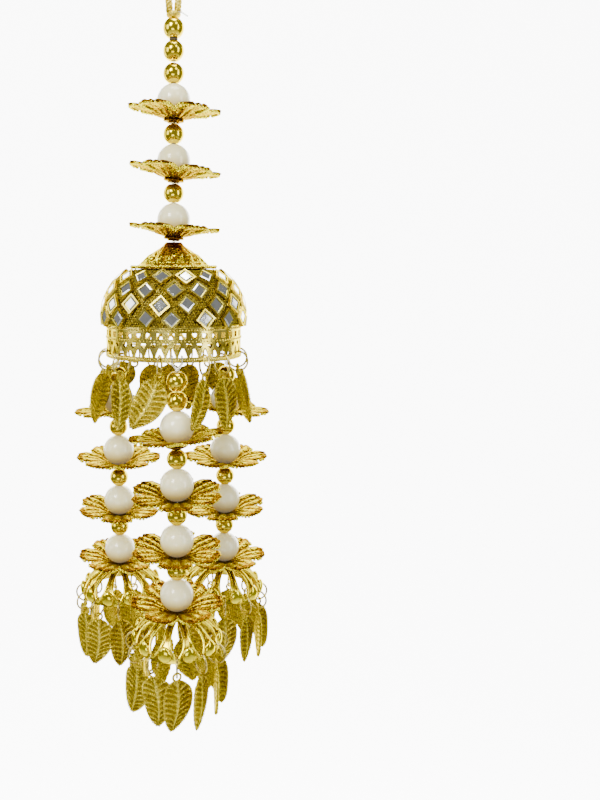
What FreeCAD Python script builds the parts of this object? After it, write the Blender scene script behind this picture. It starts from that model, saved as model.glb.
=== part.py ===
"""A kalire bridal ornament: beads, pearls and metal flowers on threads, a mirror-set dome with a
pierced band, three strands, three pierced bells and rows of leaf drops. Millimetres, +Z up. The
origin is the inside top of the hanging loop, the point where the ornament hangs."""
import FreeCAD
import Part
import math
import os

V = FreeCAD.Vector
UP = V(0, 0, 1)

# How far a cutting shape reaches past what it cuts
SLACK = 3.0

# Hanging cord: a doubled gold cord that opens into a loop, tied at the foot in a short knot
CORD_D = 2.2
CORD_LEG_X = 1.2
CORD_FOOT_Z = -23.7
CORD_HALF_ROUTE = [
    # x, z of the route's points, from the knot up to the top of the loop
    (CORD_LEG_X, CORD_FOOT_Z),
    (CORD_LEG_X, -17.4),
    (7.3, -11.6),
    (8.0, -4.4),
    (3.6, 1.1),
]
ARC_SHARE = 0.45
KNOT_R = 2.1
KNOT_H = 1.4
KNOT_BORE_DEEP = 1.12
THREAD_SHORT = 0.21

# Beads and pearls, drilled for a clear thread
THREAD_D = 0.8
GOLD_D = 6.0
GOLD_H = 5.3
GOLD_BORE_D = 1.6
PEARL_D = 10.0
PEARL_BORE_D = 1.4
PIECE_GAP = 0.1
TOP_BEAD_Z = -28.2
TOP_BEAD_STEP = 6.2

# Flower: a shallow cup of six broad petals with a flat foot and a collar under it
FLOWER_R = 13.9
FLOWER_FOOT_R = 2.7
CUP_PROFILE = [
    # radius and height of the cup's under side from the foot out; "via" lies inside an arc
    (FLOWER_FOOT_R, 0.0),
    (5.1, 0.75, "via"),
    (7.5, 1.95),
    (10.6, 2.5, "via"),
    (FLOWER_R + 0.5, 2.85),
]
FLOWER_WALL = 0.6
FLOWER_FOOT_H = 0.7
FLOWER_COLLAR_R = 1.8
FLOWER_COLLAR_H = 0.45
FLOWER_PLAY = 0.35
FLOWER_BORE_D = 1.8
PETALS = 6
PETAL_NOTCH_R = 7.2
PETAL_SHOULDER_R = 11.2
PETAL_SHOULDER_DEG = 24.0
PETAL_RIBS_DEG = (-15.0, 0.0, 15.0)
PETAL_RELIEF = 0.3
PETAL_EDGE_W = 0.8
PETAL_RIB_W = 0.45
PETAL_RIB_START = 4.3
PETAL_RIB_END = 12.9

# Cap: a small embossed dome with a scalloped rim over the crown of the big dome
CAP_R = 13.4
CAP_H = 7.9
CAP_SCALLOPS = 30
CAP_SCALLOP_R = 0.75
CAP_SCALLOP_OUT = 0.35
CAP_PROFILE = [
    # radius and height of the wall's section, its top at 0; "via" lies inside an arc
    (1.0, 0.0),
    (2.4, 0.0),
    (3.3, -1.1, "via"),
    (4.85, -2.15),
    (7.6, -4.0, "via"),
    (9.3, -5.9),
    (10.6, -6.8, "via"),
    (CAP_R, -CAP_H + 0.5),
    (CAP_R, -CAP_H),
    (10.4, -7.45, "via"),
    (8.8, -6.3),
    (7.1, -4.5, "via"),
    (4.5, -2.75),
    (2.9, -1.7, "via"),
    (2.0, -0.6),
    (1.0, -0.6),
]

# Dome: a shell on one round arc, with a flat crown under the cap
DOME_ARC_R = 16.13
DOME_ARC_X = 5.17
DOME_WALL = 0.7
DOME_EQUATOR_BELOW_CAP = 22.55
DOME_SKIRT = 1.9
DOME_CROWN_DEG = 62.0
DOME_CROWN_R = 9.5
DOME_CROWN_RISE = 0.4

# Mirrors: square glass in raised square settings, set corner up in four rows
SETTING_SIDE = 4.3
SETTING_WALL = 0.42
SETTING_PROUD = 1.15
SETTING_SEAT = 0.35
PAN_DEPTH = 0.75
MIRROR_T = 0.6
MIRROR_BEVEL = 0.5
MIRROR_CROWN = 0.25
MIRRORS_ROUND = 16
MIRROR_ROWS = [
    # latitude on the dome's arc, whether it stands between the columns below, share of the sway
    {"lat": 1.5, "between": False, "sway": 1.0},
    {"lat": 15.5, "between": True, "sway": 1.0},
    {"lat": 30.5, "between": False, "sway": 0.8},
    {"lat": 47.0, "between": True, "sway": 0.4},
]
MIRROR_SWAY = [
    # hand-set unevenness of the mirrors round each row: degrees of azimuth, latitude and spin
    (-1.5, 0.0, 2.0),
    (1.5, 0.6, 5.0),
    (1.0, -0.5, -6.0),
    (-0.8, 0.8, 4.0),
    (1.2, -0.6, -3.0),
    (-1.4, 0.4, 7.0),
    (0.6, 0.9, -5.0),
]

# Pierced band under the dome: squares above an open lattice, with a plain strip at the foot
BAND_R = 20.7
BAND_WALL = 0.7
BAND_COLUMNS = 39
BAND_TURN = -1.92
BAND_H = 9.95
BAND_LAP = 0.8
SQUARE_W = 1.75
SQUARE_TOP = 1.6
SQUARE_BOTTOM = 3.3
KITE_TOP = 4.55
KITE_BOTTOM = 5.95
KITE_W = 1.9
GABLE_TOP = 5.85
GABLE_BOTTOM = 8.5
GABLE_W = 2.5
KITE_TIP_W = 0.5
GABLE_TIP_W = 0.6

# Strands: gold beads, then four pearls in flowers, then a bell
STRAND_R = BAND_R - BAND_WALL / 2
STRAND_FLOWERS = 4
STRAND_FIRST_PEARL = 18.75
STRANDS = [
    # name, azimuth from the front, how much higher it hangs than the front one, gold beads on top
    {"name": "front", "azimuth": 2.7, "rise": 0.0, "top_golds": 2},
    {"name": "left", "azimuth": -117.3, "rise": 3.5, "top_golds": 1},
    {"name": "right", "azimuth": 122.7, "rise": 3.5, "top_golds": 1},
]
STRAND_GOLD_STEP = 5.75
LEG_D = 0.48
LEG_SPREAD = 0.86
LEGS_MEET_ABOVE = 0.55

# Bell: a pierced dome with long drop-shaped openings and a bead of metal between them at the rim
BELL_R = 13.0
BELL_H = 8.5
BELL_HUB_R = 2.6
BELL_WALL = 0.6
BELL_GAPS = 11
BELL_SHOULDER_R = 9.6
BELL_SHOULDER_Z = -2.55
BELL_RELIEF = 0.3
BELL_RIDGE_W = 0.38
BELL_LUG_R = 1.55
BELL_LUG_INSET = 0.9
BELL_BORE_D = 1.8
BELL_EYE_BELOW_TOP = 6.85
DROP_CENTRE_Z = -9.5
DROP_LEAN = 36.0
DROP_REACH = 11.8
DROP_NEAR = 0.45
DROP_FAR = 1.5
DROP_SECTION = {
    # half width and height of the drop-shaped opening's section, in a plane square to its cone
    "top": (0.28, 8.0),
    "upper side": (1.2, 3.2),
    "waist": (1.95, -1.2),
    "lower side": (1.5, -3.9),
    "foot": (0.0, -5.8),
}

# Jump rings and leaf drops
RING_R = 3.0
RING_WIRE_D = 0.6
RING_PLAY = 0.25
LEAF_T = 0.7
LEAF_W = 9.4
LEAF_LONG = 15.6
LEAF_EYE_R = 1.5
LEAF_EYE_BORE_R = 0.9
LEAF_EYE_PLAY = 0.25
LEAF_EYE_LAP = 0.35
LEAF_RELIEF = 0.25
LEAF_VEINS = 5
LEAF_VEIN_W = 0.38
LEAF_VEIN_LONG = 6.0
LEAF_VEIN_DEG = 28
LEAF_FIRST_VEIN = 0.12
LEAF_LAST_VEIN = 0.8
LEAF_RIB_W = 0.55
LEAF_EDGE_W = 0.55
LEAF_TIP_X = -0.9
LEAF_OUTLINE = [
    # share of the half width, distance below the blade's top; "via" lies inside an arc
    (0.0, 0.0),
    (0.72, 1.5, "via"),
    (1.0, 5.4),
    (0.74, 11.2, "via"),
    (LEAF_TIP_X / (LEAF_W / 2), LEAF_LONG),
    (-0.86, 11.6, "via"),
    (-1.0, 6.0),
    (-0.74, 1.7, "via"),
]

BAND_LEAVES = [
    # band column counted from the front, turn about the vertical, lean in its plane, swing outwards
    {"column": -8, "turn": -42, "lean": -28, "swing": 2},
    {"column": -5, "turn": 0, "lean": -8, "swing": 6},
    {"column": -1, "turn": 7, "lean": 24, "swing": 10},
    {"column": 3, "turn": 35, "lean": 28, "swing": 2},
    {"column": 5, "turn": 0, "lean": -12, "swing": -2},
    {"column": 8, "turn": 35, "lean": 28, "swing": 2},
    {"column": 11, "turn": 0, "lean": 40, "swing": 2},
    {"column": 16, "turn": 32, "lean": 40, "swing": 2},
    {"column": 18, "turn": 40, "lean": -6, "swing": 2},
    {"column": -19, "turn": 0, "lean": 0, "swing": 2},
    {"column": -17, "turn": -40, "lean": 6, "swing": 2},
    {"column": -15, "turn": -32, "lean": -44, "swing": 2},
    {"column": -10, "turn": 32, "lean": 28, "swing": 2},
]
BELL_LEAVES = {
    # per leaf round the bell, from the front: turn about the vertical, lean in its plane
    "front": [(24, 3), (30, 6), (28, -4), (32, 2), (27, -3), (31, 4),
              (26, -5), (30, 3), (33, -2), (26, 5), (22, -8)],
    "left": [(28, -4), (31, 3), (26, 5), (33, -3), (29, 2), (25, -5),
             (30, 4), (27, -2), (32, 5), (28, -3), (30, 2)],
    "right": [(30, 4), (26, -3), (32, 2), (28, 5), (31, -4), (27, 3),
              (29, -2), (33, 4), (25, -5), (30, 3), (27, -2)],
}
FLOWER_POSES = {
    # per flower down each strand: spin, tilt angle, azimuth of the side that dips
    "top": [(0, 5.0, 60.0), (6, 7.0, 90.0), (0, 4.0, 90.0)],
    "front": [(2, 5.0, -95.0), (30, 6.0, -20.0), (28, 5.0, 0.0), (2, 3.0, 0.0)],
    "left": [(0, 9.0, -80.0), (0, 3.0, 0.0), (30, 5.0, 10.0), (2, 4.0, 20.0)],
    "right": [(0, 9.0, 80.0), (2, 3.0, 0.0), (24, 5.0, -30.0), (0, 4.0, -10.0)],
}
BELL_TILTS = {
    # tilt angle, azimuth of the side that dips
    "front": (2.0, 0.0),
    "left": (3.0, -100.0),
    "right": (4.0, 100.0),
}


def polar(radius, azimuth, z=0.0):
    """A point at an azimuth counted from the front (-Y) towards +X."""
    a = math.radians(azimuth)
    return V(radius * math.sin(a), -radius * math.cos(a), z)


def edge_arc(a, b, c):
    return Part.Arc(a, b, c).toShape()


def edge_line(a, b):
    return Part.LineSegment(a, b).toShape()


def outline(points):
    """A closed wire in the XZ plane from (x, z) corners; a corner given as (x, z, "via") bends the
    edge that passes through it into an arc."""
    spots = [(V(p[0], 0, p[1]), len(p) > 2) for p in points]
    spots.append(spots[0])
    edges = []
    i = 0
    while i < len(spots) - 1:
        start = spots[i][0]
        if spots[i + 1][1]:
            edges.append(edge_arc(start, spots[i + 1][0], spots[i + 2][0]))
            i += 2
        else:
            edges.append(edge_line(start, spots[i + 1][0]))
            i += 1
    return Part.Wire(edges)


def spun(points):
    """The solid that a profile in the XZ plane makes when it turns once about Z."""
    return Part.Face(outline(points)).revolve(V(0, 0, 0), UP, 360)


def fused(shapes):
    shapes = list(shapes)
    return shapes[0].fuse(shapes[1:]) if len(shapes) > 1 else shapes[0]


def placed(shape, spot, turns=()):
    """A copy turned about the origin by each (axis, degrees) in order, then moved to spot."""
    copy = shape.copy()
    for axis, degrees in turns:
        copy.rotate(V(0, 0, 0), axis, degrees)
    copy.translate(spot)
    return copy


def placed_at(shape, placement):
    copy = shape.copy()
    copy.Placement = placement.multiply(copy.Placement)
    return copy


def tilt_turn(tilt, dip_azimuth):
    """The turn that lowers the side at dip_azimuth by tilt degrees."""
    return (polar(1, dip_azimuth + 90), tilt)


def save(shape, node):
    solids = shape.Solids
    kept = solids[0] if len(solids) == 1 else Part.makeCompound(solids)
    if not kept.isValid():
        print("not valid:", node)
    kept.exportStep("parts/" + node + ".step")
    SAVED[node] = kept
    print(f"{node}: {len(solids)} solids, {len(kept.Faces)} faces, {kept.Volume:.1f} mm3")


SAVED = {}
gold_pitch = (GOLD_H + PEARL_D) / 2 + PIECE_GAP
foot_drop = PEARL_D / 2 + PIECE_GAP + FLOWER_FOOT_H
pearl_to_gold = foot_drop + FLOWER_COLLAR_H + FLOWER_PLAY + GOLD_H / 2
period = gold_pitch + pearl_to_gold


def cord_route():
    half = [V(x, 0, z) for x, z in CORD_HALF_ROUTE]
    return half + [V(-p.x, 0, p.z) for p in reversed(half)]


def rounded_path(route, name):
    """Straight runs joined by tangent arcs, each as large as its two runs allow."""
    edges = []
    start = route[0]
    radii = []
    for before, corner, after in zip(route, route[1:], route[2:]):
        come = corner - before
        go = after - corner
        reach = ARC_SHARE * min(come.Length, go.Length)
        half_turn = come.getAngle(go) / 2
        radius = reach / math.tan(half_turn)
        radii.append(round(radius, 2))
        come.normalize()
        go.normalize()
        enter = corner - come * reach
        leave = corner + go * reach
        inward = go - come
        inward.normalize()
        middle = corner + inward * (radius / math.cos(half_turn) - radius)
        edges += [edge_line(start, enter), edge_arc(enter, middle, leave)]
        start = leave
    edges.append(edge_line(start, route[-1]))
    print(name, "arc radii in mm:", radii)
    return Part.Wire(edges)


def hanging_cord():
    path = rounded_path(cord_route(), "hanging_cord")
    ring = Part.Wire(Part.makeCircle(CORD_D / 2, path.Edges[0].Vertexes[0].Point, UP))
    tube = path.makePipeShell([ring], True, False)
    expected = path.Length * math.pi * CORD_D ** 2 / 4
    print(f"hanging_cord: centre line {path.Length:.2f} mm, volume {tube.Volume / expected:.4f} of it")
    return tube


def cord_knot():
    """A short wound barrel that ties both legs of the cord to the thread."""
    barrel = spun([
        (0, 0), (KNOT_R - 0.4, 0), (KNOT_R, -KNOT_H / 2, "via"), (KNOT_R - 0.4, -KNOT_H), (0, -KNOT_H),
    ])
    bore = Part.makeCylinder(THREAD_D / 2 + PIECE_GAP, KNOT_BORE_DEEP, V(0, 0, -KNOT_H), UP)
    return placed(barrel.cut(bore), V(0, 0, CORD_FOOT_Z - PIECE_GAP))


def gold_bead(z):
    """A round bead with flat mouths at its bore."""
    ball = Part.makeSphere(GOLD_D / 2, V(0, 0, z))
    slab = Part.makeBox(GOLD_D, GOLD_D, GOLD_H, V(-GOLD_D / 2, -GOLD_D / 2, z - GOLD_H / 2))
    bore = Part.makeCylinder(GOLD_BORE_D / 2, GOLD_D, V(0, 0, z - GOLD_D / 2), UP)
    return ball.common(slab).cut(bore)


def pearl(z):
    bore = Part.makeCylinder(PEARL_BORE_D / 2, PEARL_D, V(0, 0, z - PEARL_D / 2), UP)
    return Part.makeSphere(PEARL_D / 2, V(0, 0, z)).cut(bore)


def petal_outline():
    """Six petals with round ends and straight flanks that meet in notches, as a face at z = 0."""
    step = 360.0 / PETALS
    edges = []
    for i in range(PETALS):
        a = step * i + step / 2
        first = polar(PETAL_NOTCH_R, a - step / 2)
        left = polar(PETAL_SHOULDER_R, a - PETAL_SHOULDER_DEG)
        tip = polar(FLOWER_R, a)
        right = polar(PETAL_SHOULDER_R, a + PETAL_SHOULDER_DEG)
        last = polar(PETAL_NOTCH_R, a + step / 2)
        edges += [edge_line(first, left), edge_arc(left, tip, right), edge_line(right, last)]
    return Part.Face(Part.Wire(edges))


def cup_band(low, high):
    """The revolved layer of the cup between two heights above its under side."""
    lower = [(p[0], p[1] + low) + p[2:] for p in CUP_PROFILE]
    upper = [(p[0], p[1] + high) + p[2:] for p in reversed(CUP_PROFILE)]
    return spun(lower + upper)


def flower():
    """One cast flower about its own axis, with its foot on z = 0."""
    face = petal_outline()
    tall = CUP_PROFILE[-1][1] + 2 * SLACK
    sheet = placed(face, V(0, 0, -SLACK)).extrude(V(0, 0, tall))
    inner = placed(face.makeOffset2D(-PETAL_EDGE_W), V(0, 0, -SLACK)).extrude(V(0, 0, tall))
    cup = cup_band(0.0, FLOWER_WALL).common(sheet)
    relief = cup_band(FLOWER_WALL - 0.1, FLOWER_WALL + PETAL_RELIEF)
    edge = relief.common(sheet).cut(inner)
    bars = []
    for i in range(PETALS):
        for offset in PETAL_RIBS_DEG:
            corner = V(-PETAL_RIB_W / 2, PETAL_RIB_START, -SLACK)
            bar = Part.makeBox(PETAL_RIB_W, PETAL_RIB_END - PETAL_RIB_START, tall, corner)
            bar.rotate(V(0, 0, 0), UP, 360.0 / PETALS * (i + 0.5) + offset)
            bars.append(bar)
    ribs = relief.common(fused(bars)).common(sheet)
    foot = Part.makeCylinder(FLOWER_FOOT_R + 0.4, FLOWER_FOOT_H)
    collar = Part.makeCylinder(FLOWER_COLLAR_R, FLOWER_COLLAR_H + 0.2, V(0, 0, -FLOWER_COLLAR_H), UP)
    bore = Part.makeCylinder(FLOWER_BORE_D / 2, tall, V(0, 0, -SLACK), UP)
    body = cup.fuse([edge, ribs, foot, collar]).removeSplitter()
    return body.cut(bore)


def cap(top):
    """The embossed cap, its top at the given height."""
    cuts = []
    for i in range(CAP_SCALLOPS):
        spot = polar(CAP_R + CAP_SCALLOP_OUT, 360.0 / CAP_SCALLOPS * (i + 0.5), -CAP_H - SLACK)
        cuts.append(Part.makeCylinder(CAP_SCALLOP_R, 2 * SLACK, spot, UP))
    return placed(spun(CAP_PROFILE).cut(fused(cuts)), V(0, 0, top))


def dome_point(equator, latitude, proud=0.0):
    """Radius and height on the dome's outer arc at a latitude, pushed out along its normal."""
    a = math.radians(latitude)
    reach = DOME_ARC_R + proud
    return DOME_ARC_X + reach * math.cos(a), equator + reach * math.sin(a)


def arc_latitude(drop):
    return math.degrees(math.asin(-drop / DOME_ARC_R))


def dome_shell(equator):
    low = arc_latitude(DOME_SKIRT)
    mid = (low + DOME_CROWN_DEG) / 2
    outer = [dome_point(equator, lat) for lat in (low, mid, DOME_CROWN_DEG)]
    inner = [dome_point(equator, lat, -DOME_WALL) for lat in (low, mid, DOME_CROWN_DEG)]
    crown = outer[2][1] + DOME_CROWN_RISE
    return spun([
        outer[0], outer[1] + ("via",), outer[2], (DOME_CROWN_R, crown), (0.9, crown),
        (0.9, crown - DOME_WALL), (DOME_CROWN_R - 0.2, crown - DOME_WALL),
        inner[2], inner[1] + ("via",), inner[0],
    ])


def mirror_sites(equator):
    """Where each mirror sits: a placement whose Z is the outward normal and whose X runs round."""
    sites = []
    step = 360.0 / MIRRORS_ROUND
    for k, row in enumerate(MIRROR_ROWS):
        for i in range(MIRRORS_ROUND):
            d_az, d_lat, spin = MIRROR_SWAY[(i + 3 * k) % len(MIRROR_SWAY)]
            azimuth = step * (i + 0.5 * row["between"]) + d_az * row["sway"]
            latitude = row["lat"] + d_lat * row["sway"]
            radius, z = dome_point(equator, latitude)
            out = polar(math.cos(math.radians(latitude)), azimuth, math.sin(math.radians(latitude)))
            round_way = polar(1, azimuth + 90)
            turn = FreeCAD.Rotation(round_way, out.cross(round_way), out, "ZXY")
            spun_turn = turn.multiply(FreeCAD.Rotation(UP, 45 + spin))
            sites.append(FreeCAD.Placement(polar(radius, azimuth, z), spun_turn))
    return sites


def block(side, low, high):
    return Part.makeBox(side, side, high - low, V(-side / 2, -side / 2, low))


def setting():
    """A raised square collet with an open pan for the mirror, seated into the dome's wall."""
    pan = SETTING_SIDE - 2 * SETTING_WALL
    hollow = block(pan, SETTING_PROUD - PAN_DEPTH, SETTING_PROUD + SLACK)
    return block(SETTING_SIDE, -SETTING_SEAT, SETTING_PROUD).cut(hollow)


def mirror():
    """A square mirror with a table, four bevels and four sides."""
    side = SETTING_SIDE - 2 * SETTING_WALL - 2 * PIECE_GAP
    base = SETTING_PROUD - PAN_DEPTH + PIECE_GAP
    top = base + MIRROR_T
    girdle = top - MIRROR_CROWN
    table = side - 2 * MIRROR_BEVEL

    def square(size, z):
        h = size / 2
        return Part.makePolygon([V(-h, -h, z), V(h, -h, z), V(h, h, z), V(-h, h, z), V(-h, -h, z)])

    crown = Part.makeLoft([square(side, girdle), square(table, top)], True, True)
    return block(side, base, girdle).fuse(crown).removeSplitter()


def column_azimuth(column):
    return BAND_TURN + 360.0 / BAND_COLUMNS * column


def radial_prism(corners, azimuth, top):
    """A prism through the band wall from (across, down) corners, pointing outwards."""
    near = BAND_R - BAND_WALL - SLACK
    wire = Part.makePolygon([V(x, -near, top - d) for x, d in corners + corners[:1]])
    prism = Part.Face(wire).extrude(V(0, -(BAND_WALL + 2 * SLACK), 0))
    prism.rotate(V(0, 0, 0), UP, azimuth)
    return prism


def band(top):
    tall = BAND_H + BAND_LAP
    ring = Part.makeCylinder(BAND_R, tall, V(0, 0, top - BAND_H), UP)
    hollow = Part.makeCylinder(BAND_R - BAND_WALL, tall + 2 * SLACK, V(0, 0, top - BAND_H - SLACK), UP)
    ring = ring.cut(hollow)
    gaps = []
    for i in range(BAND_COLUMNS):
        here = column_azimuth(i)
        between = column_azimuth(i + 0.5)
        w = SQUARE_W / 2
        gaps.append(radial_prism(
            [(-w, SQUARE_TOP), (w, SQUARE_TOP), (w, SQUARE_BOTTOM), (-w, SQUARE_BOTTOM)], here, top))
        w = KITE_W / 2
        tip = KITE_TIP_W / 2
        gaps.append(radial_prism(
            [(-w * 0.8, KITE_TOP), (w * 0.8, KITE_TOP), (w, KITE_TOP + 0.5), (tip, KITE_BOTTOM),
             (-tip, KITE_BOTTOM), (-w, KITE_TOP + 0.5)], between, top))
        w = GABLE_W / 2
        tip = GABLE_TIP_W / 2
        gaps.append(radial_prism(
            [(-tip, GABLE_TOP), (tip, GABLE_TOP), (w, GABLE_BOTTOM - 0.4), (w, GABLE_BOTTOM),
             (-w, GABLE_BOTTOM), (-w, GABLE_BOTTOM - 0.4)], here, top))
    return ring.cut(gaps)


def torus(spot, azimuth):
    """A closed jump ring that stands in the radial plane at an azimuth."""
    axis = polar(1, azimuth + 90)
    return Part.makeTorus(RING_R, RING_WIRE_D / 2, spot, axis)


def leaf():
    """One leaf about the centre of its eye: the blade hangs down -Z and faces -Y."""
    half = LEAF_W / 2
    top = -LEAF_EYE_R + LEAF_EYE_LAP
    tip = top - LEAF_LONG
    face = Part.Face(outline([(p[0] * half, top - p[1]) + p[2:] for p in LEAF_OUTLINE]))
    front = -LEAF_T / 2
    seat = V(0, front + 0.05, 0)
    proud = V(0, -LEAF_RELIEF - 0.05, 0)
    blade = placed(face, V(0, -front, 0)).extrude(V(0, 2 * front, 0))
    raised = placed(face, seat).extrude(proud)
    inner = placed(face.makeOffset2D(-LEAF_EDGE_W), V(0, front + SLACK, 0)).extrude(V(0, -2 * SLACK, 0))
    bend = V(-LEAF_TIP_X, 0, (top + tip) / 2)
    spine = Part.Arc(V(0, 0, top), bend, V(LEAF_TIP_X, 0, tip))
    w = LEAF_RIB_W / 2
    tip_w = 0.1
    rib = Part.Wire([
        edge_arc(V(w, 0, top), bend + V(w, 0, 0), V(LEAF_TIP_X + tip_w, 0, tip)),
        edge_line(V(LEAF_TIP_X + tip_w, 0, tip), V(LEAF_TIP_X - tip_w, 0, tip)),
        edge_arc(V(LEAF_TIP_X - tip_w, 0, tip), bend - V(w, 0, 0), V(-w, 0, top)),
        edge_line(V(-w, 0, top), V(w, 0, top)),
    ])
    bars = [placed(Part.Face(rib), seat).extrude(proud)]
    for i in range(LEAF_VEINS):
        share = LEAF_FIRST_VEIN + (LEAF_LAST_VEIN - LEAF_FIRST_VEIN) * i / (LEAF_VEINS - 1)
        root = spine.value(spine.FirstParameter + share * (spine.LastParameter - spine.FirstParameter))
        for angle in (LEAF_VEIN_DEG, 180 - LEAF_VEIN_DEG):
            corner = V(0, front - LEAF_RELIEF, -LEAF_VEIN_W / 2)
            vein = Part.makeBox(LEAF_VEIN_LONG, LEAF_RELIEF + 0.05, LEAF_VEIN_W, corner)
            vein.rotate(V(0, 0, 0), V(0, 1, 0), angle)
            vein.translate(root)
            bars.append(vein)
    relief = raised.common(fused(bars)).fuse(raised.cut(inner))
    eye = Part.makeCylinder(LEAF_EYE_R, LEAF_T, V(0, -front, 0), V(0, -1, 0))
    hole = Part.makeCylinder(LEAF_EYE_BORE_R, 2 * SLACK, V(0, SLACK, 0), V(0, -1, 0))
    return blade.fuse([relief, eye]).removeSplitter().cut(hole)


def ring_and_leaf(pattern, hook, azimuth, turn, lean, swing):
    """A jump ring hung at hook on an edge, and the leaf that hangs on the ring. The leaf turns
    about the vertical and leans in its own plane; both swing out together about the hook."""
    ring_drop = RING_R - RING_WIRE_D / 2 - RING_PLAY
    eye_drop = ring_drop + RING_R - RING_WIRE_D / 2 - LEAF_EYE_PLAY + LEAF_EYE_BORE_R
    out_swing = (polar(1, azimuth + 90), -swing)
    ring = placed(torus(V(0, 0, -ring_drop), azimuth), hook, [out_swing])
    hung = placed(pattern, V(0, 0, -eye_drop), [(V(0, 1, 0), lean), (UP, azimuth + turn)])
    return ring, placed(hung, hook, [out_swing])


def bell_profile(grow, wall):
    """A wall of the bell about Z, its top at z = 0, grown outwards from the plain shell."""
    hub = BELL_HUB_R
    rim_r = BELL_R + grow

    def shoulder(offset):
        return (BELL_SHOULDER_R + offset * 0.7, BELL_SHOULDER_Z + offset * 0.7, "via")

    return spun([
        (BELL_BORE_D / 2, grow), (hub, grow), shoulder(grow), (rim_r, -BELL_H),
        (rim_r - wall, -BELL_H), shoulder(grow - wall),
        (hub, grow - wall), (BELL_BORE_D / 2, grow - wall),
    ])


def drop_cone(swell):
    """A cone with a drop-shaped section that cuts one opening, pointing out of the bell's middle."""
    apex = V(0, 0, DROP_CENTRE_Z)
    a = math.radians(DROP_LEAN)
    out = polar(math.cos(a), 0, math.sin(a))
    up = polar(-math.sin(a), 0, math.cos(a))
    grow = {"top": 0.5, "foot": -1.3}

    def section(scale):
        def spot(name, side):
            x, y = DROP_SECTION[name]
            x = side * (x + (0 if name == "foot" else swell))
            y += grow.get(name, 0) * swell
            return apex + (out * DROP_REACH + V(1, 0, 0) * x + up * y) * scale

        foot = spot("foot", 1)
        return Part.Wire([
            edge_arc(spot("top", 1), spot("upper side", 1), spot("waist", 1)),
            edge_arc(spot("waist", 1), spot("lower side", 1), foot),
            edge_arc(foot, spot("lower side", -1), spot("waist", -1)),
            edge_arc(spot("waist", -1), spot("upper side", -1), spot("top", -1)),
            edge_line(spot("top", -1), spot("top", 1)),
        ])

    return Part.makeLoft([section(DROP_NEAR), section(DROP_FAR)], True, True)


def bell():
    """One pierced bell about its own axis, with its top at z = 0."""
    step = 360.0 / BELL_GAPS
    shell = bell_profile(0.0, BELL_WALL)
    skin = bell_profile(BELL_RELIEF, BELL_RELIEF + 0.1)
    small = [placed(drop_cone(0.0), V(0, 0, 0), [(UP, step * i)]) for i in range(BELL_GAPS)]
    large = [placed(drop_cone(BELL_RIDGE_W), V(0, 0, 0), [(UP, step * i)]) for i in range(BELL_GAPS)]
    ridges = skin.common(fused(large))
    lugs = []
    for i in range(BELL_GAPS):
        spot = polar(BELL_R - BELL_LUG_INSET, step * (i + 0.5), -BELL_H + BELL_LUG_R + 0.1)
        lugs.append(Part.makeSphere(BELL_LUG_R, spot))
    inside = Part.makeCylinder(BELL_R - BELL_WALL, BELL_H + SLACK, V(0, 0, -BELL_H - SLACK), UP)
    lug_ring = fused(lugs).cut(inside)
    body = shell.fuse([ridges, lug_ring]).cut(small)
    mouth = Part.makeCylinder(BELL_R + SLACK, SLACK, V(0, 0, -BELL_H - SLACK), UP)
    return body.cut(mouth)


def thread_rod(a, b, diameter):
    return Part.makeCylinder(diameter / 2, (b - a).Length, a, b - a)


def strand_thread(azimuth, top, merge, end):
    """A thread that ties two legs over the band's foot strip and runs down through the strand."""
    thin = LEG_D
    axis_spot = polar(STRAND_R, azimuth, merge)
    pieces = [
        thread_rod(axis_spot + V(0, 0, 0.2), polar(STRAND_R, azimuth, end), THREAD_D),
        Part.makeSphere(THREAD_D * 0.75, polar(STRAND_R, azimuth, merge + 0.1)),
    ]
    half = 180.0 / BAND_COLUMNS
    over = top - GABLE_BOTTOM + thin / 2 + PIECE_GAP
    out_r = BAND_R + thin / 2 + PIECE_GAP
    in_r = BAND_R - BAND_WALL - thin / 2 - PIECE_GAP
    for way in (-1, 1):
        leg = azimuth + way * half * LEG_SPREAD
        corners = [
            axis_spot,
            polar(out_r, leg, top - BAND_H - 0.2),
            polar(out_r, leg, over),
            polar(in_r, leg, over),
            polar(in_r, leg, top - BAND_H - 0.2),
            axis_spot,
        ]
        for a, b in zip(corners, corners[1:]):
            pieces.append(thread_rod(a, b, thin))
        for c in corners[1:-1]:
            pieces.append(Part.makeSphere(thin * 0.62, c))
    return fused(pieces)


def posed_flower(pattern, spot, pose):
    spin, tilt, dip = pose
    return placed(pattern, spot, [(UP, spin), tilt_turn(tilt, dip)])


def make_top_strand(pattern):
    """Five gold beads, three pearls and three flowers over the cap. Returns the cap's top height."""
    z = TOP_BEAD_Z
    for i in range(3):
        save(gold_bead(z - TOP_BEAD_STEP * i), f"top_gold_bead_{i + 1}")
    z -= TOP_BEAD_STEP * 2
    for i in range(3):
        z -= gold_pitch
        save(pearl(z), f"top_pearl_{i + 1}")
        save(posed_flower(pattern, V(0, 0, z - foot_drop), FLOWER_POSES["top"][i]), f"top_flower_{i + 1}")
        z -= pearl_to_gold
        if i < 2:
            save(gold_bead(z), f"top_gold_bead_{i + 4}")
    return z + GOLD_H / 2


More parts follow.
